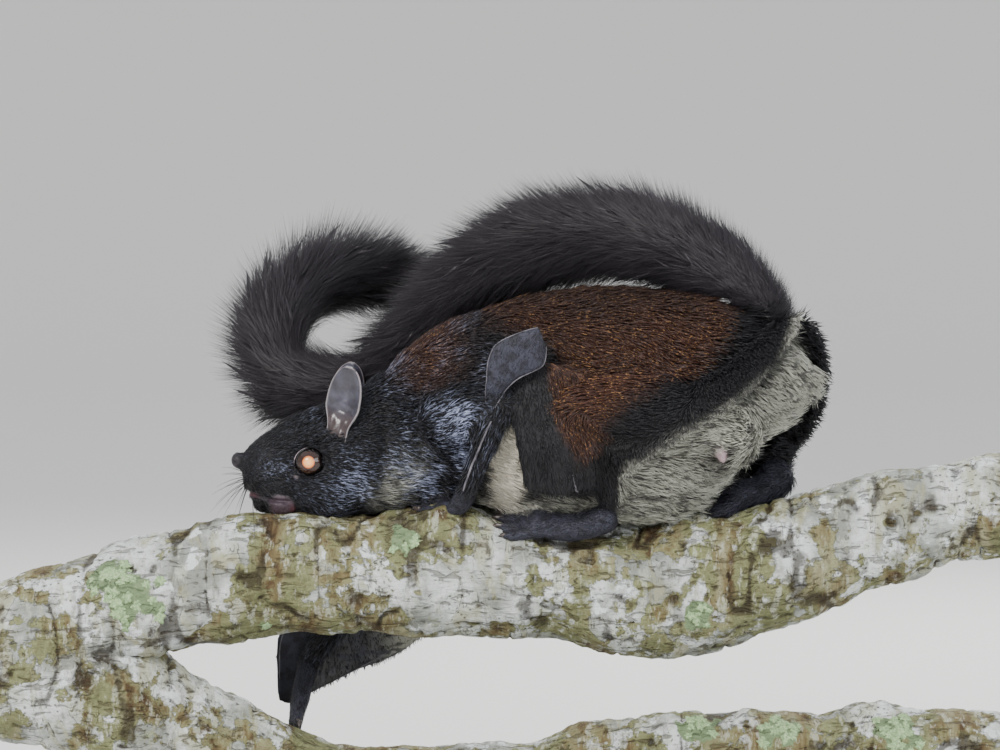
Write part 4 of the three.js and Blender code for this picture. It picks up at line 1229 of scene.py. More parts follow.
# Pieces of the coat: name, slot, tufts to the square metre, look and zones
COATS = [
    ("coat_face", "black_fur", 900000, SLEEK, ["head"]),
    ("coat_neck", "black_fur", 1100000, SLEEK, ["neck"]),
    ("coat_back_front", "chestnut_fur", 560000, SLEEK, ["torso_front"]),
    ("coat_back_rear", "chestnut_fur", 500000, WAVY, ["torso_rear"]),
    ("coat_fore_limbs", "black_fur", 700000, SLEEK,
     ["forelimb_left", "forelimb_right", "hand_left", "hand_right"]),
    ("coat_hind_limbs", "black_fur", 620000, SLEEK,
     ["hindlimb_left", "hindlimb_right", "foot_left", "foot_right"]),
    ("coat_membranes", "black_fur", 300000, SLEEK,
     ["wingtip_left", "wingtip_right", "patagium_left", "patagium_right"]),
    ("coat_rump_web", "black_fur", 800000, LOOSE, ["uropatagium_left", "uropatagium_right"]),
]
TAIL_COAT = {
    "pieces": 4,
    "plume": {"family": "plume", "density": 150000, "spread": 0.7, "rise": (0.5, 0.84), "width": 0.7},
    "down": {"family": "down", "density": 6150000, "spread": 1.2, "rise": (0.62, 1.1), "width": 0.55},
}
BAKE_PATCH = 0.003
KEPT_FIELDS = {
    "OFBake", "strand", "tone", "velvet", "light", "dusk", "warm", "pale", "frost", "plume", "position",
    "material_index", "sharp_face", "sharp_edge",
}


def joined_meshes(meshes, name):
    """One mesh of several, with their fields."""
    if len(meshes) == 1:
        return meshes[0]
    objects = [placed("work", mesh) for mesh in meshes]
    with bpy.context.temp_override(
        active_object=objects[0], object=objects[0], selected_objects=objects,
        selected_editable_objects=objects,
    ):
        bpy.ops.object.join()
    whole = objects[0].data
    whole.name = name
    bpy.data.objects.remove(objects[0])
    return whole


def drop_fields(mesh):
    """Removes the fields that no finish reads."""
    for name in [a.name for a in mesh.attributes if a.name not in KEPT_FIELDS]:
        if not name.startswith("."):
            mesh.attributes.remove(mesh.attributes[name])


def build_coats(skin, zone, finish):
    tree = coat_tree()
    families = {
        "sleek": tuft_family("sleek_tuft", [(0.0, 0.0), (0.15, 0.5), (-0.15, -0.5)]),
        "wavy": tuft_family("wavy_tuft", [(0.9, 0.6), (-0.9, -0.4), (0.4, -0.9)]),
        "plume": tuft_family("plume_tuft", [(0.6, 6.0), (-0.8, -7.0), (0.3, 2.0), (-0.4, -3.0)],
                             halves=(0.4, 0.5)),
        "down": tuft_family("down_tuft", [(0.0, 3.0), (0.0, -4.0), (0.0, 9.0), (0.0, -8.0)],
                            steps=(0.0, 1.0), halves=(0.5,), thickness=0.014),
    }
    of_face = face_zones(skin, zone)
    centres = read_all(skin.polygons, "center", 3) / MM

    def grow(part, look, seed, name):
        low, high = look["rise"]
        return run_tree(part, tree, {
            "Tufts": families[look["family"]], "Tufts per Square Metre": float(look["density"]),
            "Spread": look["spread"], "Lowest Rise": low, "Highest Rise": high, "Seed": seed,
            "Length Share": 1.0, "Width Share": look.get("width", 1.0), "Bake Patch": BAKE_PATCH,
            "Finish": finish,
        }, name)

    def add_coat(name, keep, looks, seed):
        part = part_of_mesh(skin, keep, name)
        unwrapped(part)
        grown = [grow(part.copy(), look, seed + 100 * index, name) for index, look in enumerate(looks)]
        whole = joined_meshes(grown, name)
        drop_fields(whole)
        add_piece(name, whole, finish)

    for seed, (name, slot, density, look, zones) in enumerate(COATS, start=3):
        add_coat(name, is_in(of_face, *zones), [{**look, "density": density}], seed)

    of_tail = is_in(of_face, "tail") > 0
    place = np.full(len(of_face), -1.0)
    route = even_route(TAIL_ROUTE, TAIL["steps"])
    place[of_tail] = nearest_step(route, centres[of_tail]) / TAIL["steps"]
    for index in range(TAIL_COAT["pieces"]):
        low, high = index / TAIL_COAT["pieces"], (index + 1) / TAIL_COAT["pieces"]
        keep = (place >= low) & (place < high)
        looks = [TAIL_COAT["plume"], TAIL_COAT["down"]]
        add_coat(f"coat_tail_{index + 1}", keep, looks, 40 + index)


# Eyes
def eye_finish():
    """Dark brown iris, a pupil painted with amber eyeshine that glows as if lit from the front, and a clear
    wet front.
    """
    finish, tree = new_finish("eye")
    streaks = noise(tree, object_place(tree), 1400.0, 4.0, 0.6)
    wobble = maths(tree, "MULTIPLY_ADD", streaks, 3.0, -1.5)
    angle = maths(tree, "ADD", attribute(tree, "from_axis"), wobble)
    scaled = maths(tree, "DIVIDE", angle, 90.0)
    # Painted reflection: the amber middle is eyeshine thrown back from inside the eye; the dark brown ring
    # round it is the iris
    shade = ramp(tree, scaled, [
        (0.0, colour(250, 196, 138)), (0.17, colour(242, 164, 96)), (0.235, colour(196, 104, 54)),
        (0.262, colour(38, 17, 11)), (0.42, colour(50, 25, 17)), (0.54, colour(13, 8, 8)),
    ])
    # The painted eyeshine also glows, though the eye is no lamp
    eyeshine_glow = ramp(tree, scaled, [(0.0, 1.0), (0.2, 0.7), (0.262, 0.0)])
    return dressed(finish, {
        "Base Color": shade, "Emission Color": mixed(tree, 1.0, shade, eyeshine_glow, "MULTIPLY"),
        "Emission Strength": 0.32, "Roughness": 0.12, "Specular IOR Level": 0.3,
        "Coat Weight": 0.7, "Coat Roughness": 0.02,
    })


def build_eyes():
    finish = eye_finish()
    for name, side in (("eye_left", -1), ("eye_right", 1)):
        centre, axis = eye_frame(side)
        work = bmesh.new()
        bmesh.ops.create_uvsphere(work, u_segments=64, v_segments=40, radius=1)
        directions = array([v.co for v in work.verts])
        faces = [[v.index for v in face.verts] for face in work.faces]
        work.free()
        first = unit(np.cross(axis, [0, 0, 1]))
        directions = directions @ np.stack([first, np.cross(axis, first), axis])
        angle = np.degrees(np.arccos(np.clip(directions @ axis, -1, 1)))
        cornea = 1 + 0.06 * smoothstep(angle, 38, 5)
        points = centre + directions * EYE["radius"] * cornea[:, None]
        mesh = make_mesh(name + "_glass", points, faces)
        set_field(mesh, "from_axis", angle)
        add_piece(name + "_glass", mesh, finish, [name])


# Ears
def ear_finish():
    finish, tree = new_finish("ear_skin")
    place = object_place(tree)
    shade = ramp(tree, noise(tree, place, 120.0, 4.0), [
        (0.32, colour(34, 32, 41)), (0.7, colour(80, 79, 95)),
    ])
    shade = mixed(tree, attribute(tree, "lower"), shade, colour(62, 50, 52))
    shade = mixed(tree, attribute(tree, "edge"), shade, colour(142, 136, 140))
    return dressed(finish, {
        "Base Color": shade, "Roughness": 0.28, "Coat Weight": 0.42, "Coat Roughness": 0.16,
        "Subsurface Weight": 0.12, "Subsurface Scale": 0.002,
    }, (0.3, 0.0005, noise(tree, place, 420.0, 3.0, 0.6, 1.5)))


def build_ears():
    finish = ear_finish()
    for name, side in (("ear_left", -1), ("ear_right", 1)):
        root, tip = (array(EAR[end]) * [1, side, 1] + [0, BODY_Y, 0] for end in ("root", "tip"))
        outward = unit([-0.45, side, 0.1])
        rise = tip - root
        across = unit(np.cross(rise, outward))
        run = 1 - (1 - np.linspace(0, 1, 70)) ** 1.7 * 1.05
        u, v = np.meshgrid(run, np.linspace(0, 1, 57), indexing="ij")
        w = 2 * v - 1
        off_middle = np.abs(w)
        shape = np.sqrt(np.maximum(1 - (np.maximum(u - 0.5, 0) / 0.502) ** 2.3, 0.0008))
        stem = 0.62 + 0.38 * smoothstep(u, 0.12, 0.46)
        width = EAR["half_width"] * 0.93 * stem * shape
        hollow = -EAR["cup"] * (1 - w**2) * (1 - 0.55 * u) * np.minimum(width / EAR["half_width"], 1)
        hollow *= 0.15 + 0.85 * smoothstep(u, 0.05, 0.42)
        turned = 1.3 * smoothstep(off_middle, 0.8, 1.0) * smoothstep(u, 0.1, 0.4)
        ridges = 0.5 * np.sin(u * 30 + 0.8 * w)
        ridges *= smoothstep(off_middle, 0.8, 0.3) * smoothstep(u, 0.8, 0.5)
        fold = 0.5 * bell(w + 0.45 - 0.5 * u, 0.24) + 0.7 * bell(w - 0.3 - 0.4 * u, 0.22)
        lobe = 1.2 * bell(u - 0.16, 0.08) * bell(w + 0.1, 0.4)
        raised = fold * smoothstep(u, 0.5, 0.1) + lobe
        grid = root + rise * u[..., None] + across * (w * width)[..., None]
        grid = grid + outward * (hollow + ridges + raised - turned * 0.4)[..., None]
        rim = np.maximum(smoothstep(off_middle, 0.9, 1.0), smoothstep(u, 0.97, 1.0))
        mesh = make_mesh(name + "_cup", *shell(grid, EAR["wall"] * (0.8 + 0.8 * rim)))
        set_field(mesh, "edge", np.tile(rim.ravel(), 2))
        set_field(mesh, "lower", np.tile(smoothstep(u, 0.46, 0.24).ravel(), 2))
        add_piece(name + "_cup", mesh, finish, [name])


# Claws and whiskers
def horn_finish():
    finish, tree = new_finish("claw_horn")
    lines = noise(tree, object_place(tree), 900.0, 3.0, 0.6)
    shade = ramp(tree, lines, [(0.35, colour(48, 42, 42)), (0.7, colour(98, 88, 82))])
    return dressed(finish, {"Base Color": shade, "Roughness": 0.28}, (0.2, 0.0002, lines))


def whisker_finish():
    finish, tree = new_finish("whisker")
    shade = mixed(tree, attribute(tree, "strand"), colour(14, 12, 13), colour(58, 52, 52))
    return dressed(finish, {"Base Color": shade, "Roughness": 0.35})


PAWS = {
    "hand_left": {"limb": UPPER_LIMB, "heel": WRIST_LEFT, "ball": (-34, -23, 260), "reach": 22,
                  "toes": 4, "spread": 5.2},
    "hand_right": {"limb": LOWER_LIMB, "heel": WRIST_RIGHT, "ball": (-124, 40, 122), "reach": 26,
                   "toes": 4, "spread": 5.4},
    "foot_left": {"limb": UPPER_LIMB, "heel": (64, -37, 249), "ball": (22, -27, 246), "reach": 27,
                  "toes": 5, "spread": 5.2},
    "foot_right": {"limb": UPPER_LIMB, "heel": (170, 16, 270), "ball": (141, 4, 258), "reach": 27,
                   "toes": 5, "spread": 5.2},
}


def on_limb(limb, place, lift):
    """The place lifted or lowered to stand a given height over the limb's bark."""
    samples = smooth_route(limb["stations"], 161)
    nearest = samples[np.argmin(((samples[:, :3] - place) ** 2).sum(axis=1))]
    return nearest[:3] + unit(place - nearest[:3]) * (nearest[3] + lift)


def build_claws():
    finish = horn_finish()
    for name, paw in PAWS.items():
        heel, ball, limb = array(paw["heel"]), array(paw["ball"]), paw["limb"]
        forward = unit(ball - heel)
        outward = unit(ball - on_limb(limb, ball, -30))
        across = unit(np.cross(forward, outward))
        claws = []
        for index in range(paw["toes"]):
            fan = index - (paw["toes"] - 1) / 2
            length = paw["reach"] * (1 - 0.07 * fan * fan)
            root = ball + across * fan * paw["spread"] * 0.8 - forward * 5
            end = root + forward * length + across * fan * paw["spread"] * 0.5
            on_end = on_limb(limb, end, TOE["tip"])
            tip = on_limb(limb, end + forward * TOE["claw"], 0.2)
            start = on_end - forward * 1.5 + outward * 0.7
            top = on_end * 0.4 + tip * 0.6 + outward * 1.9
            route = even_route([start, on_end + forward * 1.6 + outward * 1.3, top, tip], 12)
            radii = TOE["claw_root"] * np.linspace(1.05, 0.12, 12) ** 0.8
            claws.append(tube(route, radii, 10, 1.25))
        mesh = make_mesh("claws_" + name, *join_shapes(claws))
        add_piece("claws_" + name, mesh, finish)


def build_whiskers():
    random = np.random.default_rng(77)
    t = np.linspace(0, 1, 14)
    shapes = []

    def grow(root, way, length, droop):
        route = root - way * 2 + way * length * t[:, None]
        route = route + array([0, 0, -1]) * droop * length * t[:, None] ** 2
        shapes.append(tube(route, 0.24 * (1 - 0.85 * t), 5))

    for side in (-1, 1):
        for row in range(5):
            for place in range(4):
                root = array([-157 + 3.4 * place, BODY_Y + side * (8.5 + 1.9 * place), 273.5 - 2.4 * row])
                forward = -0.55 + 0.33 * place + 0.1 * random.normal()
                way = unit([forward, side, 0.25 - 0.2 * row + 0.08 * random.normal()])
                length = (30 + 9 * place) * random.uniform(0.8, 1.15)
                grow(root, way, length, 0.2 * random.uniform(0.4, 1.2))
        for index in range(3):
            root = array([-117 + 4 * index, BODY_Y + side * 23, 294.5])
            grow(root, unit([0.1 + 0.25 * index, side * 0.8, 0.75]), 20 + 4 * index, 0.3)
    mesh = make_mesh("whiskers", *join_shapes(shapes))
    set_field(mesh, "strand", np.tile(np.append(np.repeat(t, 5), [0, 1]), len(shapes)))
    add_piece("whiskers", mesh, whisker_finish())


# Perch
def relief(limb, x, angle):
    """The broad lumps of a limb, as its stations and knobs give them."""
    seed = limb["seed"]
    height = np.sin(x * 0.11 + seed) * 0.9 + np.sin(x * 0.047 + 2 * angle) * 1.3
    height += np.sin(3 * angle + seed + x * 0.02) * 0.8
    for knob_x, knob_angle, rise, spread in limb["knobs"]:
        turn = np.arctan2(np.sin(angle - knob_angle), np.cos(angle - knob_angle))
        height += rise * np.exp(-((x - knob_x) / spread) ** 2 - (turn * 38 / spread) ** 2)
    return height


# Spots of grey-green lichen: x, y, z and reach
MINT_SPOTS = [
    (-222, -38, 200, 22), (-236, -34, 214, 16), (-140, -40, 176, 15), (-60, -36, 236, 12),
    (120, -40, 190, 13), (205, 20, 262, 16), (-170, 30, 236, 18), (60, 38, 214, 16),
    (170, -14, 124, 20), (240, -16, 124, 22), (120, -6, 122, 16), (-230, 10, 158, 18),
]


# Old knots on the near side: x, y, z and reach
KNOTS = [
    (-151, -41, 212, 8), (-86, -40, 200, 9), (162, -38, 234, 13), (104, -42, 200, 8), (52, -38, 226, 8),
    (236, -34, 246, 7), (-250, -42, 152, 9), (-196, -36, 106, 8), (30, -12, 76, 7),
]


# Where the upper limb's crusts are thick (above 0) or worn off: x, share and width
CRUST_BANDS = [
    (-86, -0.6, 26), (-45, -0.25, 12), (-6, 0.5, 26), (72, -0.4, 38), (150, -0.45, 24),
    (235, 0.35, 40), (-195, 0.3, 40), (-148, -0.4, 8),
]


def bark_fields(points):
    """Wrinkles along the limb, folds round it, where the lichens grow on it, and where painted shade
    darkens its hollows.
    """
    x, _, z = points.T
    stretched = points * array([1.0, 0.3, 0.3])
    combed = points * array([0.35, 1.0, 1.0])
    wrinkle = soft_noise(combed, 2.6, 61) * 0.45 + soft_noise(stretched, 6.0, 62) * 0.8
    ring = bell(soft_noise(stretched + 40, 13, 63), 0.13)
    ring *= smoothstep(soft_noise(points, 24, 69), -0.3, 0.3)
    lump = soft_noise(points, 15, 64) * 1.1 + soft_noise(points, 4.2, 65) * 0.4
    pit = smoothstep(soft_noise(points, 6.5, 66), 0.48, 0.75)
    knot, knot_rim, mint = (np.zeros(len(points)) for _ in range(3))
    for *place, reach in KNOTS:
        off = np.linalg.norm(points - array(place), axis=1) + 1.5 * soft_noise(points, 5, 74)
        knot = np.maximum(knot, bell(off, 0.62 * reach))
        knot_rim = np.maximum(knot_rim, bell(off - reach, 0.3 * reach))
    for *place, reach in MINT_SPOTS:
        off = np.linalg.norm(points - array(place), axis=1) + 0.4 * reach * soft_noise(points, 7, 73)
        mint = np.maximum(mint, smoothstep(off, reach, 0.4 * reach))
    crust = soft_noise(points, 34, 67) + 0.55 * soft_noise(points, 12, 68)
    crust += 0.25 * soft_noise(points, 4, 70)
    on_upper = smoothstep(z, 120, 160)
    for band_x, share, width in CRUST_BANDS:
        crust += share * bell(x - band_x, width) * on_upper
    crust -= 0.8 * knot
    olive = soft_noise(stretched, 17, 71) + 0.5 * soft_noise(points, 9, 72)
    chin_rest = bell(x + 70, 17) * smoothstep(z, 232, 246)
    height = wrinkle - 1.8 * ring + 1.3 * lump - 1.3 * pit + 0.5 * smoothstep(crust, 0.0, 0.07)
    height += 0.6 * mint + 2.2 * knot_rim - 1.2 * knot + 2.4 * chin_rest
    # Painted shade: rings, pits, wrinkle troughs and knots, to be darkened in the bark's colour
    cavity = np.clip(ring + 0.7 * pit + smoothstep(-wrinkle, 0.5, 1.0) * 0.6 + knot, 0, 1)
    return height, {"crust": crust, "olive": olive, "mint": mint, "cavity": cavity}


def limb_route(limb, wanted):
    """The limb's middle and radius at the wanted values of x."""
    fine = smooth_route(limb["stations"], 1500)
    before, after = fine[0] + (fine[0] - fine[1]) * 20, fine[-1] + (fine[-1] - fine[-2]) * 20
    fine = np.vstack([before, fine, after])
    return np.stack([np.interp(wanted, fine[:, 0], fine[:, k]) for k in range(4)], axis=1)


def add_cut_end(layers, pith_fields, faces, rim, middle, outward):
    """Closes a limb by rings of points that shrink to the pith, told by their distance from it."""
    points = layers[0]
    outer = rim
    pith = array([points[rim[0], 0], middle[1], middle[2]])
    for share in (0.985, 0.94, 0.85, 0.72, 0.56, 0.38, 0.2, 0.0):
        start = sum(len(layer) for layer in layers)
        layers.append(pith + (points[rim] - pith) * share if share else pith[None])
        inner = np.arange(start, start + len(rim)) if share else np.full(len(rim), start)
        pith_fields.append(np.full(len(layers[-1]), share * middle[3] + 0.5))
        for a, b, c, d in zip(outer, np.roll(outer, -1), np.roll(inner, -1), inner):
            quad = (a, b, c, d) if share else (a, b, c)
            faces.append(tuple(int(i) for i in (quad if outward else reversed(quad))))
        outer = inner


def limb_mesh(name, limb, rows=390, sides=120):
    low, high = PERCH_CUTS["left"] + 0.1, PERCH_CUTS["right"] - 0.1
    route = limb_route(limb, np.linspace(low, high, rows))
    ahead = tangents(route)
    side = unit(np.cross(ahead, [0, 0, 1]))
    top = np.cross(side, ahead)
    angle = np.broadcast_to(np.linspace(0, 2 * math.pi, sides, endpoint=False), (rows, sides))
    along = np.broadcast_to(route[:, :1], (rows, sides))
    out = side[:, None] * np.cos(angle)[..., None] + top[:, None] * np.sin(angle)[..., None]
    base = route[:, None, :3] + out * (route[:, 3:4] + relief(limb, along, angle))[..., None]
    detail, fields = bark_fields(base.reshape(-1, 3))
    points = (base + out * (detail.reshape(rows, sides) - 0.7)[..., None]).reshape(-1, 3)
    points[:sides, 0], points[-sides:, 0] = low, high
    points[:, 0] = np.clip(points[:, 0], low, high)
    index = np.arange(rows * sides).reshape(rows, sides)
    following = np.roll(index, -1, axis=1)
    quads = np.stack([index[:-1], following[:-1], following[1:], index[1:]], axis=-1)
    faces = quads.reshape(-1, 4).tolist()
    layers, pith_fields = [points], [np.zeros(len(points))]
    add_cut_end(layers, pith_fields, faces, index[0], route[0], False)
    add_cut_end(layers, pith_fields, faces, index[-1], route[-1], True)
    mesh = make_mesh(name, np.vstack(layers), faces)
    pith = np.concatenate(pith_fields)
    for field, values in fields.items():
        set_field(mesh, field, np.concatenate([values, np.full(len(pith) - len(values), -1.0)]))
    set_field(mesh, "pith", pith)
    return mesh


def bark_finish():
    """Ochre and olive bark in bands under pale crusts, finely wrinkled with painted shade in its wrinkles
    and crevices, with lichen and sawn ends.
    """
    finish, tree = new_finish("lichened_bark")
    place = object_place(tree)
    rings, along = object_place(tree, (1.0, 0.36, 0.36)), object_place(tree, (0.3, 1.0, 1.0))
    fine = noise(tree, place, 420.0, 5.0, 0.7)
    patch = noise(tree, place, 66.0, 5.0, 0.62)
    broad = noise(tree, place, 26.0, 4.0)
    wrinkle = noise(tree, along, 230.0, 3.0, 0.5, 1.0)
    band = noise(tree, rings, 58.0, 4.0, 0.6, 0.8)
    # Painted shade: dark lines along the fine wrinkles, also pressed into the bump
    line = ramp_value(tree, wrinkle, 0.44, 0.34)

    def add(a, b):
        return maths(tree, "ADD", a, b)

    def ragged(name, share):
        return add(attribute(tree, name), maths(tree, "MULTIPLY_ADD", fine, share, -0.5 * share))

    def flecks(where, scale, detail, roughness, low, high):
        return ramp_value(tree, noise(tree, where, scale, detail, roughness), low, high)

    # Ochre and olive bark, and the pale crusts over it with a yellowish edge
    ochre = ramp(tree, band, [
        (0.36, colour(156, 153, 122)), (0.5, colour(124, 112, 78)), (0.6, colour(88, 70, 48)),
        (0.68, colour(70, 52, 34)),
    ])
    olive = mixed(tree, fine, colour(78, 80, 50), colour(156, 158, 116))
    under = mixed(tree, ramp_value(tree, ragged("olive", 1.4), -0.15, 0.25), ochre, olive)
    pale = mixed(tree, ramp_value(tree, broad, 0.38, 0.6), colour(146, 149, 142), colour(224, 229, 227))
    pale = covered_by(tree, pale, ramp_value(tree, band, 0.5, 0.64), 0.7, colour(170, 166, 130))
    cover = add(ragged("crust", 0.7), times(tree, maths(tree, "SUBTRACT", patch, 0.5), 3.4))
    edge = mixed(tree, fine, colour(112, 112, 72), colour(178, 180, 138))
    under = covered_by(tree, under, ramp_value(tree, cover, -0.5, -0.02), 0.6, edge)
    covered = ramp_value(tree, cover, -0.06, 0.1)
    shade = mixed(tree, covered, under, pale)

    # Masks of the round crusts, the seams between the bands, the lichen and the specks
    bending = add_node(tree, "ShaderNodeTexNoise", {"Vector": place, "Scale": 120.0, "Detail": 4.0})
    blots = add_node(tree, "ShaderNodeTexVoronoi", {
        "Vector": mixed(tree, 0.03, place, bending.outputs[1]), "Scale": 52.0, "Randomness": 0.9,
    })
    pick = add_node(tree, "ShaderNodeSeparateColor", {"Color": blots.outputs["Color"]}).outputs[0]
    blot = times(
        tree, ramp_value(tree, add(blots.outputs["Distance"], times(tree, fine, 0.25)), 0.5, 0.4),
        ramp_value(tree, pick, 0.42, 0.5), ramp_value(tree, cover, -0.6, 0.1),
    )
    seam = maths(tree, "ABSOLUTE", maths(tree, "SUBTRACT", band, 0.55))
    seam = times(tree, ramp_value(tree, seam, 0.016, 0.0), ramp_value(tree, patch, 0.53, 0.6))
    specks = add_node(tree, "ShaderNodeTexVoronoi", {"Vector": place, "Scale": 210.0}).outputs[0]
    specks = times(tree, ramp_value(tree, specks, 0.22, 0.12), ramp_value(tree, broad, 0.5, 0.6))
    mint = mixed(tree, fine, colour(84, 100, 70), colour(150, 172, 130))

    # Laid over each other in this order: mask, share and colour
    for mask, share, cover_colour in (
        (blot, 0.9, colour(236, 241, 243)),
        (flecks(place, 74.0, 6.0, 0.7, 0.56, 0.66), 0.4, colour(154, 162, 112)),
        (flecks(rings, 150.0, 5.0, 0.75, 0.53, 0.66), 0.5, colour(88, 80, 58)),
        (flecks(rings, 190.0, 4.0, 0.7, 0.54, 0.64), 0.55, colour(206, 208, 192)),
        # The next two are painted shade: the dark wrinkle lines and the darkened crevices
        (line, 0.6, colour(78, 68, 52)),
        (ramp_value(tree, ragged("cavity", 1.2), 0.22, 0.9), 0.8, colour(52, 42, 31)),
        (seam, 0.75, colour(48, 38, 29)),
        (ramp_value(tree, ragged("mint", 0.9), 0.35, 0.5), 1.0, mint),
        (specks, 0.7, colour(44, 34, 26)),
    ):
        shade = covered_by(tree, shade, mask, share, cover_colour)

    # The sawn ends: pale wood with rings
    pith = attribute(tree, "pith")
    wavy = maths(tree, "SINE", add(times(tree, pith, 3.4), times(tree, broad, 9.0)))
    wood = mixed(tree, ramp_value(tree, wavy, -0.6, 1.0), colour(206, 178, 134), colour(158, 122, 82))
    shade = mixed(tree, ramp_value(tree, pith, 0.0, 0.4), shade, wood)
    height = add(add(times(tree, fine, 0.5), times(tree, covered, 0.35)), wrinkle)
    height = maths(tree, "SUBTRACT", height, times(tree, line, 0.5))
    return dressed(finish, {
        "Base Color": shade, "Roughness": 0.84, "Specular IOR Level": 0.28,
    }, (1.0, 0.0028, height))


# Lichen: small lobed rosettes that lie on the bark
def rosette(name, lobes, phase, sides=20):
    """A thin lobed leaf with a wavy, lifted rim, of unit radius, closed underneath."""
    turn = np.linspace(0, 2 * math.pi, sides, endpoint=False)
    edge = 1 + 0.24 * np.sin(lobes * turn + phase) + 0.1 * np.sin(3 * turn + 2 * phase)
    points = [(0.0, 0.0, 0.05)]
    for share, height in ((0.5, 0.12), (0.92, 0.3), (1.0, 0.22), (0.86, 0.0), (0.4, -0.12)):
        wave = height + 0.1 * share * np.sin((lobes + 2) * turn + phase)
        points += list(zip(edge * share * np.cos(turn), edge * share * np.sin(turn), wave))
    points.append((0.0, 0.0, -0.12))
    faces = []
    for k in range(sides):
        following = (k + 1) % sides
        faces.append((0, 1 + k, 1 + following))
        for ring in range(4):
            a, b = 1 + ring * sides + k, 1 + ring * sides + following
            faces.append((a, a + sides, b + sides, b))
        faces.append((len(points) - 1, 1 + 4 * sides + following, 1 + 4 * sides + k))
    return smooth_mesh(name, points, faces)


def lichen_tree():
    """Scatters rosettes over the bark where its mint field is high."""
    tree, group_input, result = new_group(
        "scatter_lichen", "GeometryNodeTree",
        [
            ("Bark", "NodeSocketGeometry", None),
            ("Rosettes", "NodeSocketCollection", None),
            ("Rosettes per Square Metre", "NodeSocketFloat", 36000.0),
            ("Smallest", "NodeSocketFloat", 0.0018),
            ("Largest", "NodeSocketFloat", 0.0045),
            ("Seed", "NodeSocketInt", 1),
            ("Finish", "NodeSocketMaterial", None),
        ],
        [("Lichen", "NodeSocketGeometry")],
    )
    given = group_input.outputs
    share = add_node(tree, "ShaderNodeMapRange", {
        "Value": named(tree, "mint"), "From Min": 0.3, "From Max": 0.7,
    }).outputs[0]
    density = times(tree, share, given["Rosettes per Square Metre"])
    points = scattered(tree, given["Bark"], density, given["Seed"])
    size = random_value(tree, given["Seed"], given["Smallest"], given["Largest"])
    spin = add_node(
        tree, "FunctionNodeRandomValue", {0: (-0.3, -0.3, 0.0), 1: (0.3, 0.3, 6.28)},
        data_type="FLOAT_VECTOR",
    )
    turned = add_node(tree, "FunctionNodeRotateRotation", {
        "Rotation": points["Rotation"], "Rotate By": spin.outputs[0],
    }, rotation_space="LOCAL")
    real = planted(tree, points["Points"], given["Rosettes"], turned.outputs[0], size)
    return close_tree(tree, given, result, real)


def lichen_finish():
    finish, tree = new_finish("lichen")
    fine = noise(tree, object_place(tree), 700.0, 4.0, 0.6)
    shade = ramp(tree, fine, [
        (0.3, colour(112, 140, 96)), (0.6, colour(168, 194, 146)), (0.8, colour(208, 222, 190)),
    ])
    return dressed(finish, {"Base Color": shade, "Roughness": 0.9}, (0.5, 0.0004, fine))


def build_perch():
    bark, lichen = bark_finish(), lichen_finish()
    family = collected("rosettes", [
        rosette(f"rosette_{index}", lobes, phase)
        for index, (lobes, phase) in enumerate(((5, 0.3), (6, 1.4), (7, 2.6)))
    ])
    tree = lichen_tree()
    for name, limb in (("perch_upper_limb", UPPER_LIMB), ("perch_lower_limb", LOWER_LIMB)):
        mesh = limb_mesh(name + "_bark", limb)
        wanted = {"Rosettes": family, "Seed": 5, "Finish": lichen}
        grown = run_tree(mesh.copy(), tree, wanted, name + "_lichen")
        add_piece(name + "_bark", mesh, bark, [name])
        add_piece(name + "_lichen", grown, lichen)


# Display stand
def painted_finish():
    finish, tree = new_finish("stand_paint")
    place = object_place(tree)
    shade = ramp(tree, noise(tree, place, 14.0, 3.0), [
        (0.3, colour(44, 46, 50)), (0.7, colour(56, 58, 62)),
    ])
    grain = noise(tree, place, 900.0, 3.0)
    return dressed(finish, {"Base Color": shade, "Roughness": 0.42}, (0.15, 0.0003, grain))


def steel_finish():
    finish, tree = new_finish("rod_steel")
    lines = noise(tree, object_place(tree, (1.0, 1.0, 30.0)), 120.0, 3.0)
    return dressed(finish, {
        "Base Color": ramp(tree, lines, [(0.3, colour(158, 160, 162)), (0.7, colour(186, 188, 190))]),
        "Roughness": ramp(tree, lines, [(0.3, 0.24), (0.7, 0.36)]), "Metallic": 1.0,
    })


def build_stand():
    paint, steel = painted_finish(), steel_finish()
    for name, finish in (("stand_base", paint), ("stand_rod_front", steel), ("stand_rod_rear", steel)):
        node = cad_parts[name]
        for slot in node.material_slots:
            slot.material = finish
        if not node.material_slots:
            node.data.materials.append(finish)


# Room, light and camera
ROOM = {"floor": 6.2, "bend": 2.4, "wall": 7.0, "drop": 0.0005, "sides": 96}


SKY = {"tint": (0.93, 0.96, 1.0, 1), "strength": 1.1}


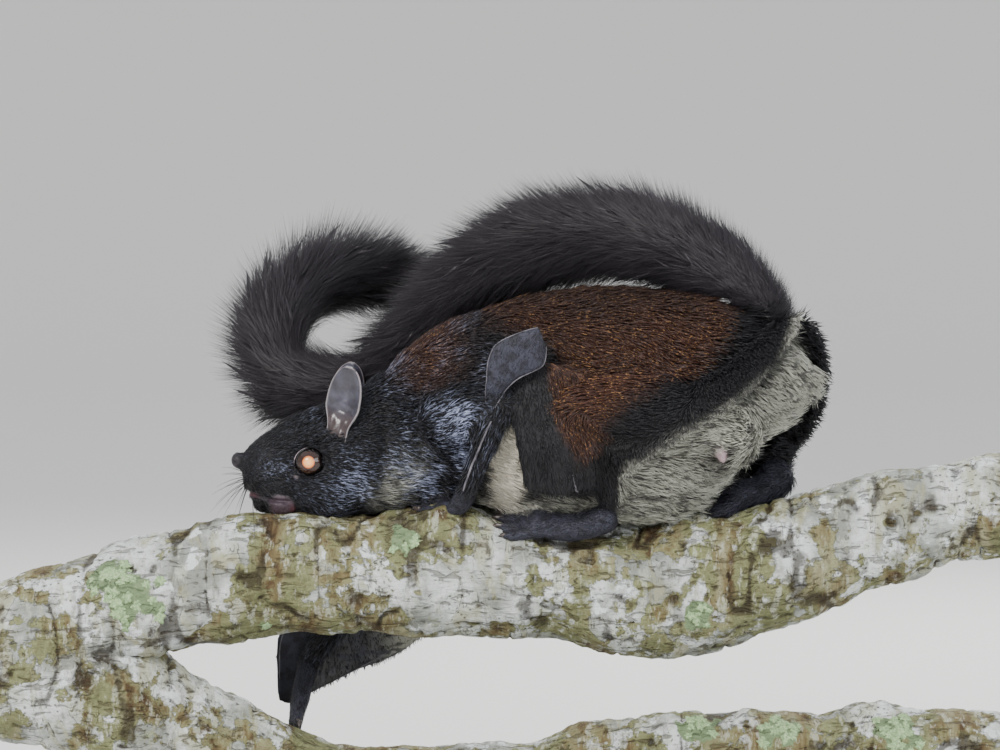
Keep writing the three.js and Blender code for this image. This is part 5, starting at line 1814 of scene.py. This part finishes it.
def build_room():
    """A plain pale floor that rises all round in a smooth bend, so that no edge shows from any side."""
    finish, _ = new_finish("pale_floor")
    dressed(finish, {"Base Color": colour(232, 231, 228), "Roughness": 0.9})
    floor, bend, sides = ROOM["floor"], ROOM["bend"], ROOM["sides"]
    profile = [(1.5, 0.0), (3.5, 0.0), (floor, 0.0)]
    for turn in np.linspace(0, math.pi / 2, 13)[1:]:
        profile.append((floor + bend * math.sin(turn), bend * (1 - math.cos(turn))))
    profile.append((floor + bend, ROOM["wall"]))
    points = [(0.0, 0.0, -ROOM["drop"])]
    for reach, height in profile:
        for k in range(sides):
            turn = 2 * math.pi * k / sides
            points.append((reach * math.cos(turn), reach * math.sin(turn), height - ROOM["drop"]))
    faces = [(0, 1 + k, 1 + (k + 1) % sides) for k in range(sides)]
    faces += ring_faces(len(profile), sides, 1)
    mesh = smooth_mesh("floor", points, faces)
    mesh.materials.append(finish)
    placed("floor", mesh)
    world = bpy.data.worlds.new("studio")
    world.use_nodes = True
    background = world.node_tree.nodes["Background"]
    background.inputs["Color"].default_value = SKY["tint"]
    background.inputs["Strength"].default_value = SKY["strength"]
    bpy.context.scene.world = world


def add_light(name, place, size, power, tint=(1, 1, 1)):
    lamp = bpy.data.lights.new(name, "AREA")
    lamp.size, lamp.energy, lamp.color = size, power, tint
    light = placed(name, lamp)
    light.location = place
    light.rotation_euler = (Vector((0, 0, 0.3)) - Vector(place)).to_track_quat("-Z", "Y").to_euler()


def build_camera():
    lens = bpy.data.cameras.new("camera")
    lens.sensor_width = 36.0
    lens.lens = 36.0 * CAMERA["distance"] / CAMERA["frame_width"]
    lens.clip_start, lens.clip_end = 0.1, 100.0
    camera = placed("camera", lens)
    tilt = math.radians(CAMERA["elevation"])
    back = Vector((0, -math.cos(tilt), math.sin(tilt)))
    camera.location = Vector(CAMERA["aim"]) + back * CAMERA["distance"]
    camera.rotation_euler = (-back).to_track_quat("-Z", "Y").to_euler()
    bpy.context.scene.camera = camera


build_camera()
build_room()
add_light("key", (-1.1, -1.9, 1.7), 0.9, 60, (1.0, 0.98, 0.95))
add_light("fill", (1.9, -1.4, 1.0), 1.2, 20, (0.94, 0.97, 1.0))
add_light("rim", (0.6, 2.0, 1.6), 1.0, 45)

marking = coat_marking_group()
skin_mesh, skin_zone = build_skin(skin_finish(marking))
build_coats(skin_mesh, skin_zone, coat_finish(marking))
build_rims(skin_mesh)
build_eyes()
build_ears()
build_claws()
build_whiskers()
build_perch()
build_stand()
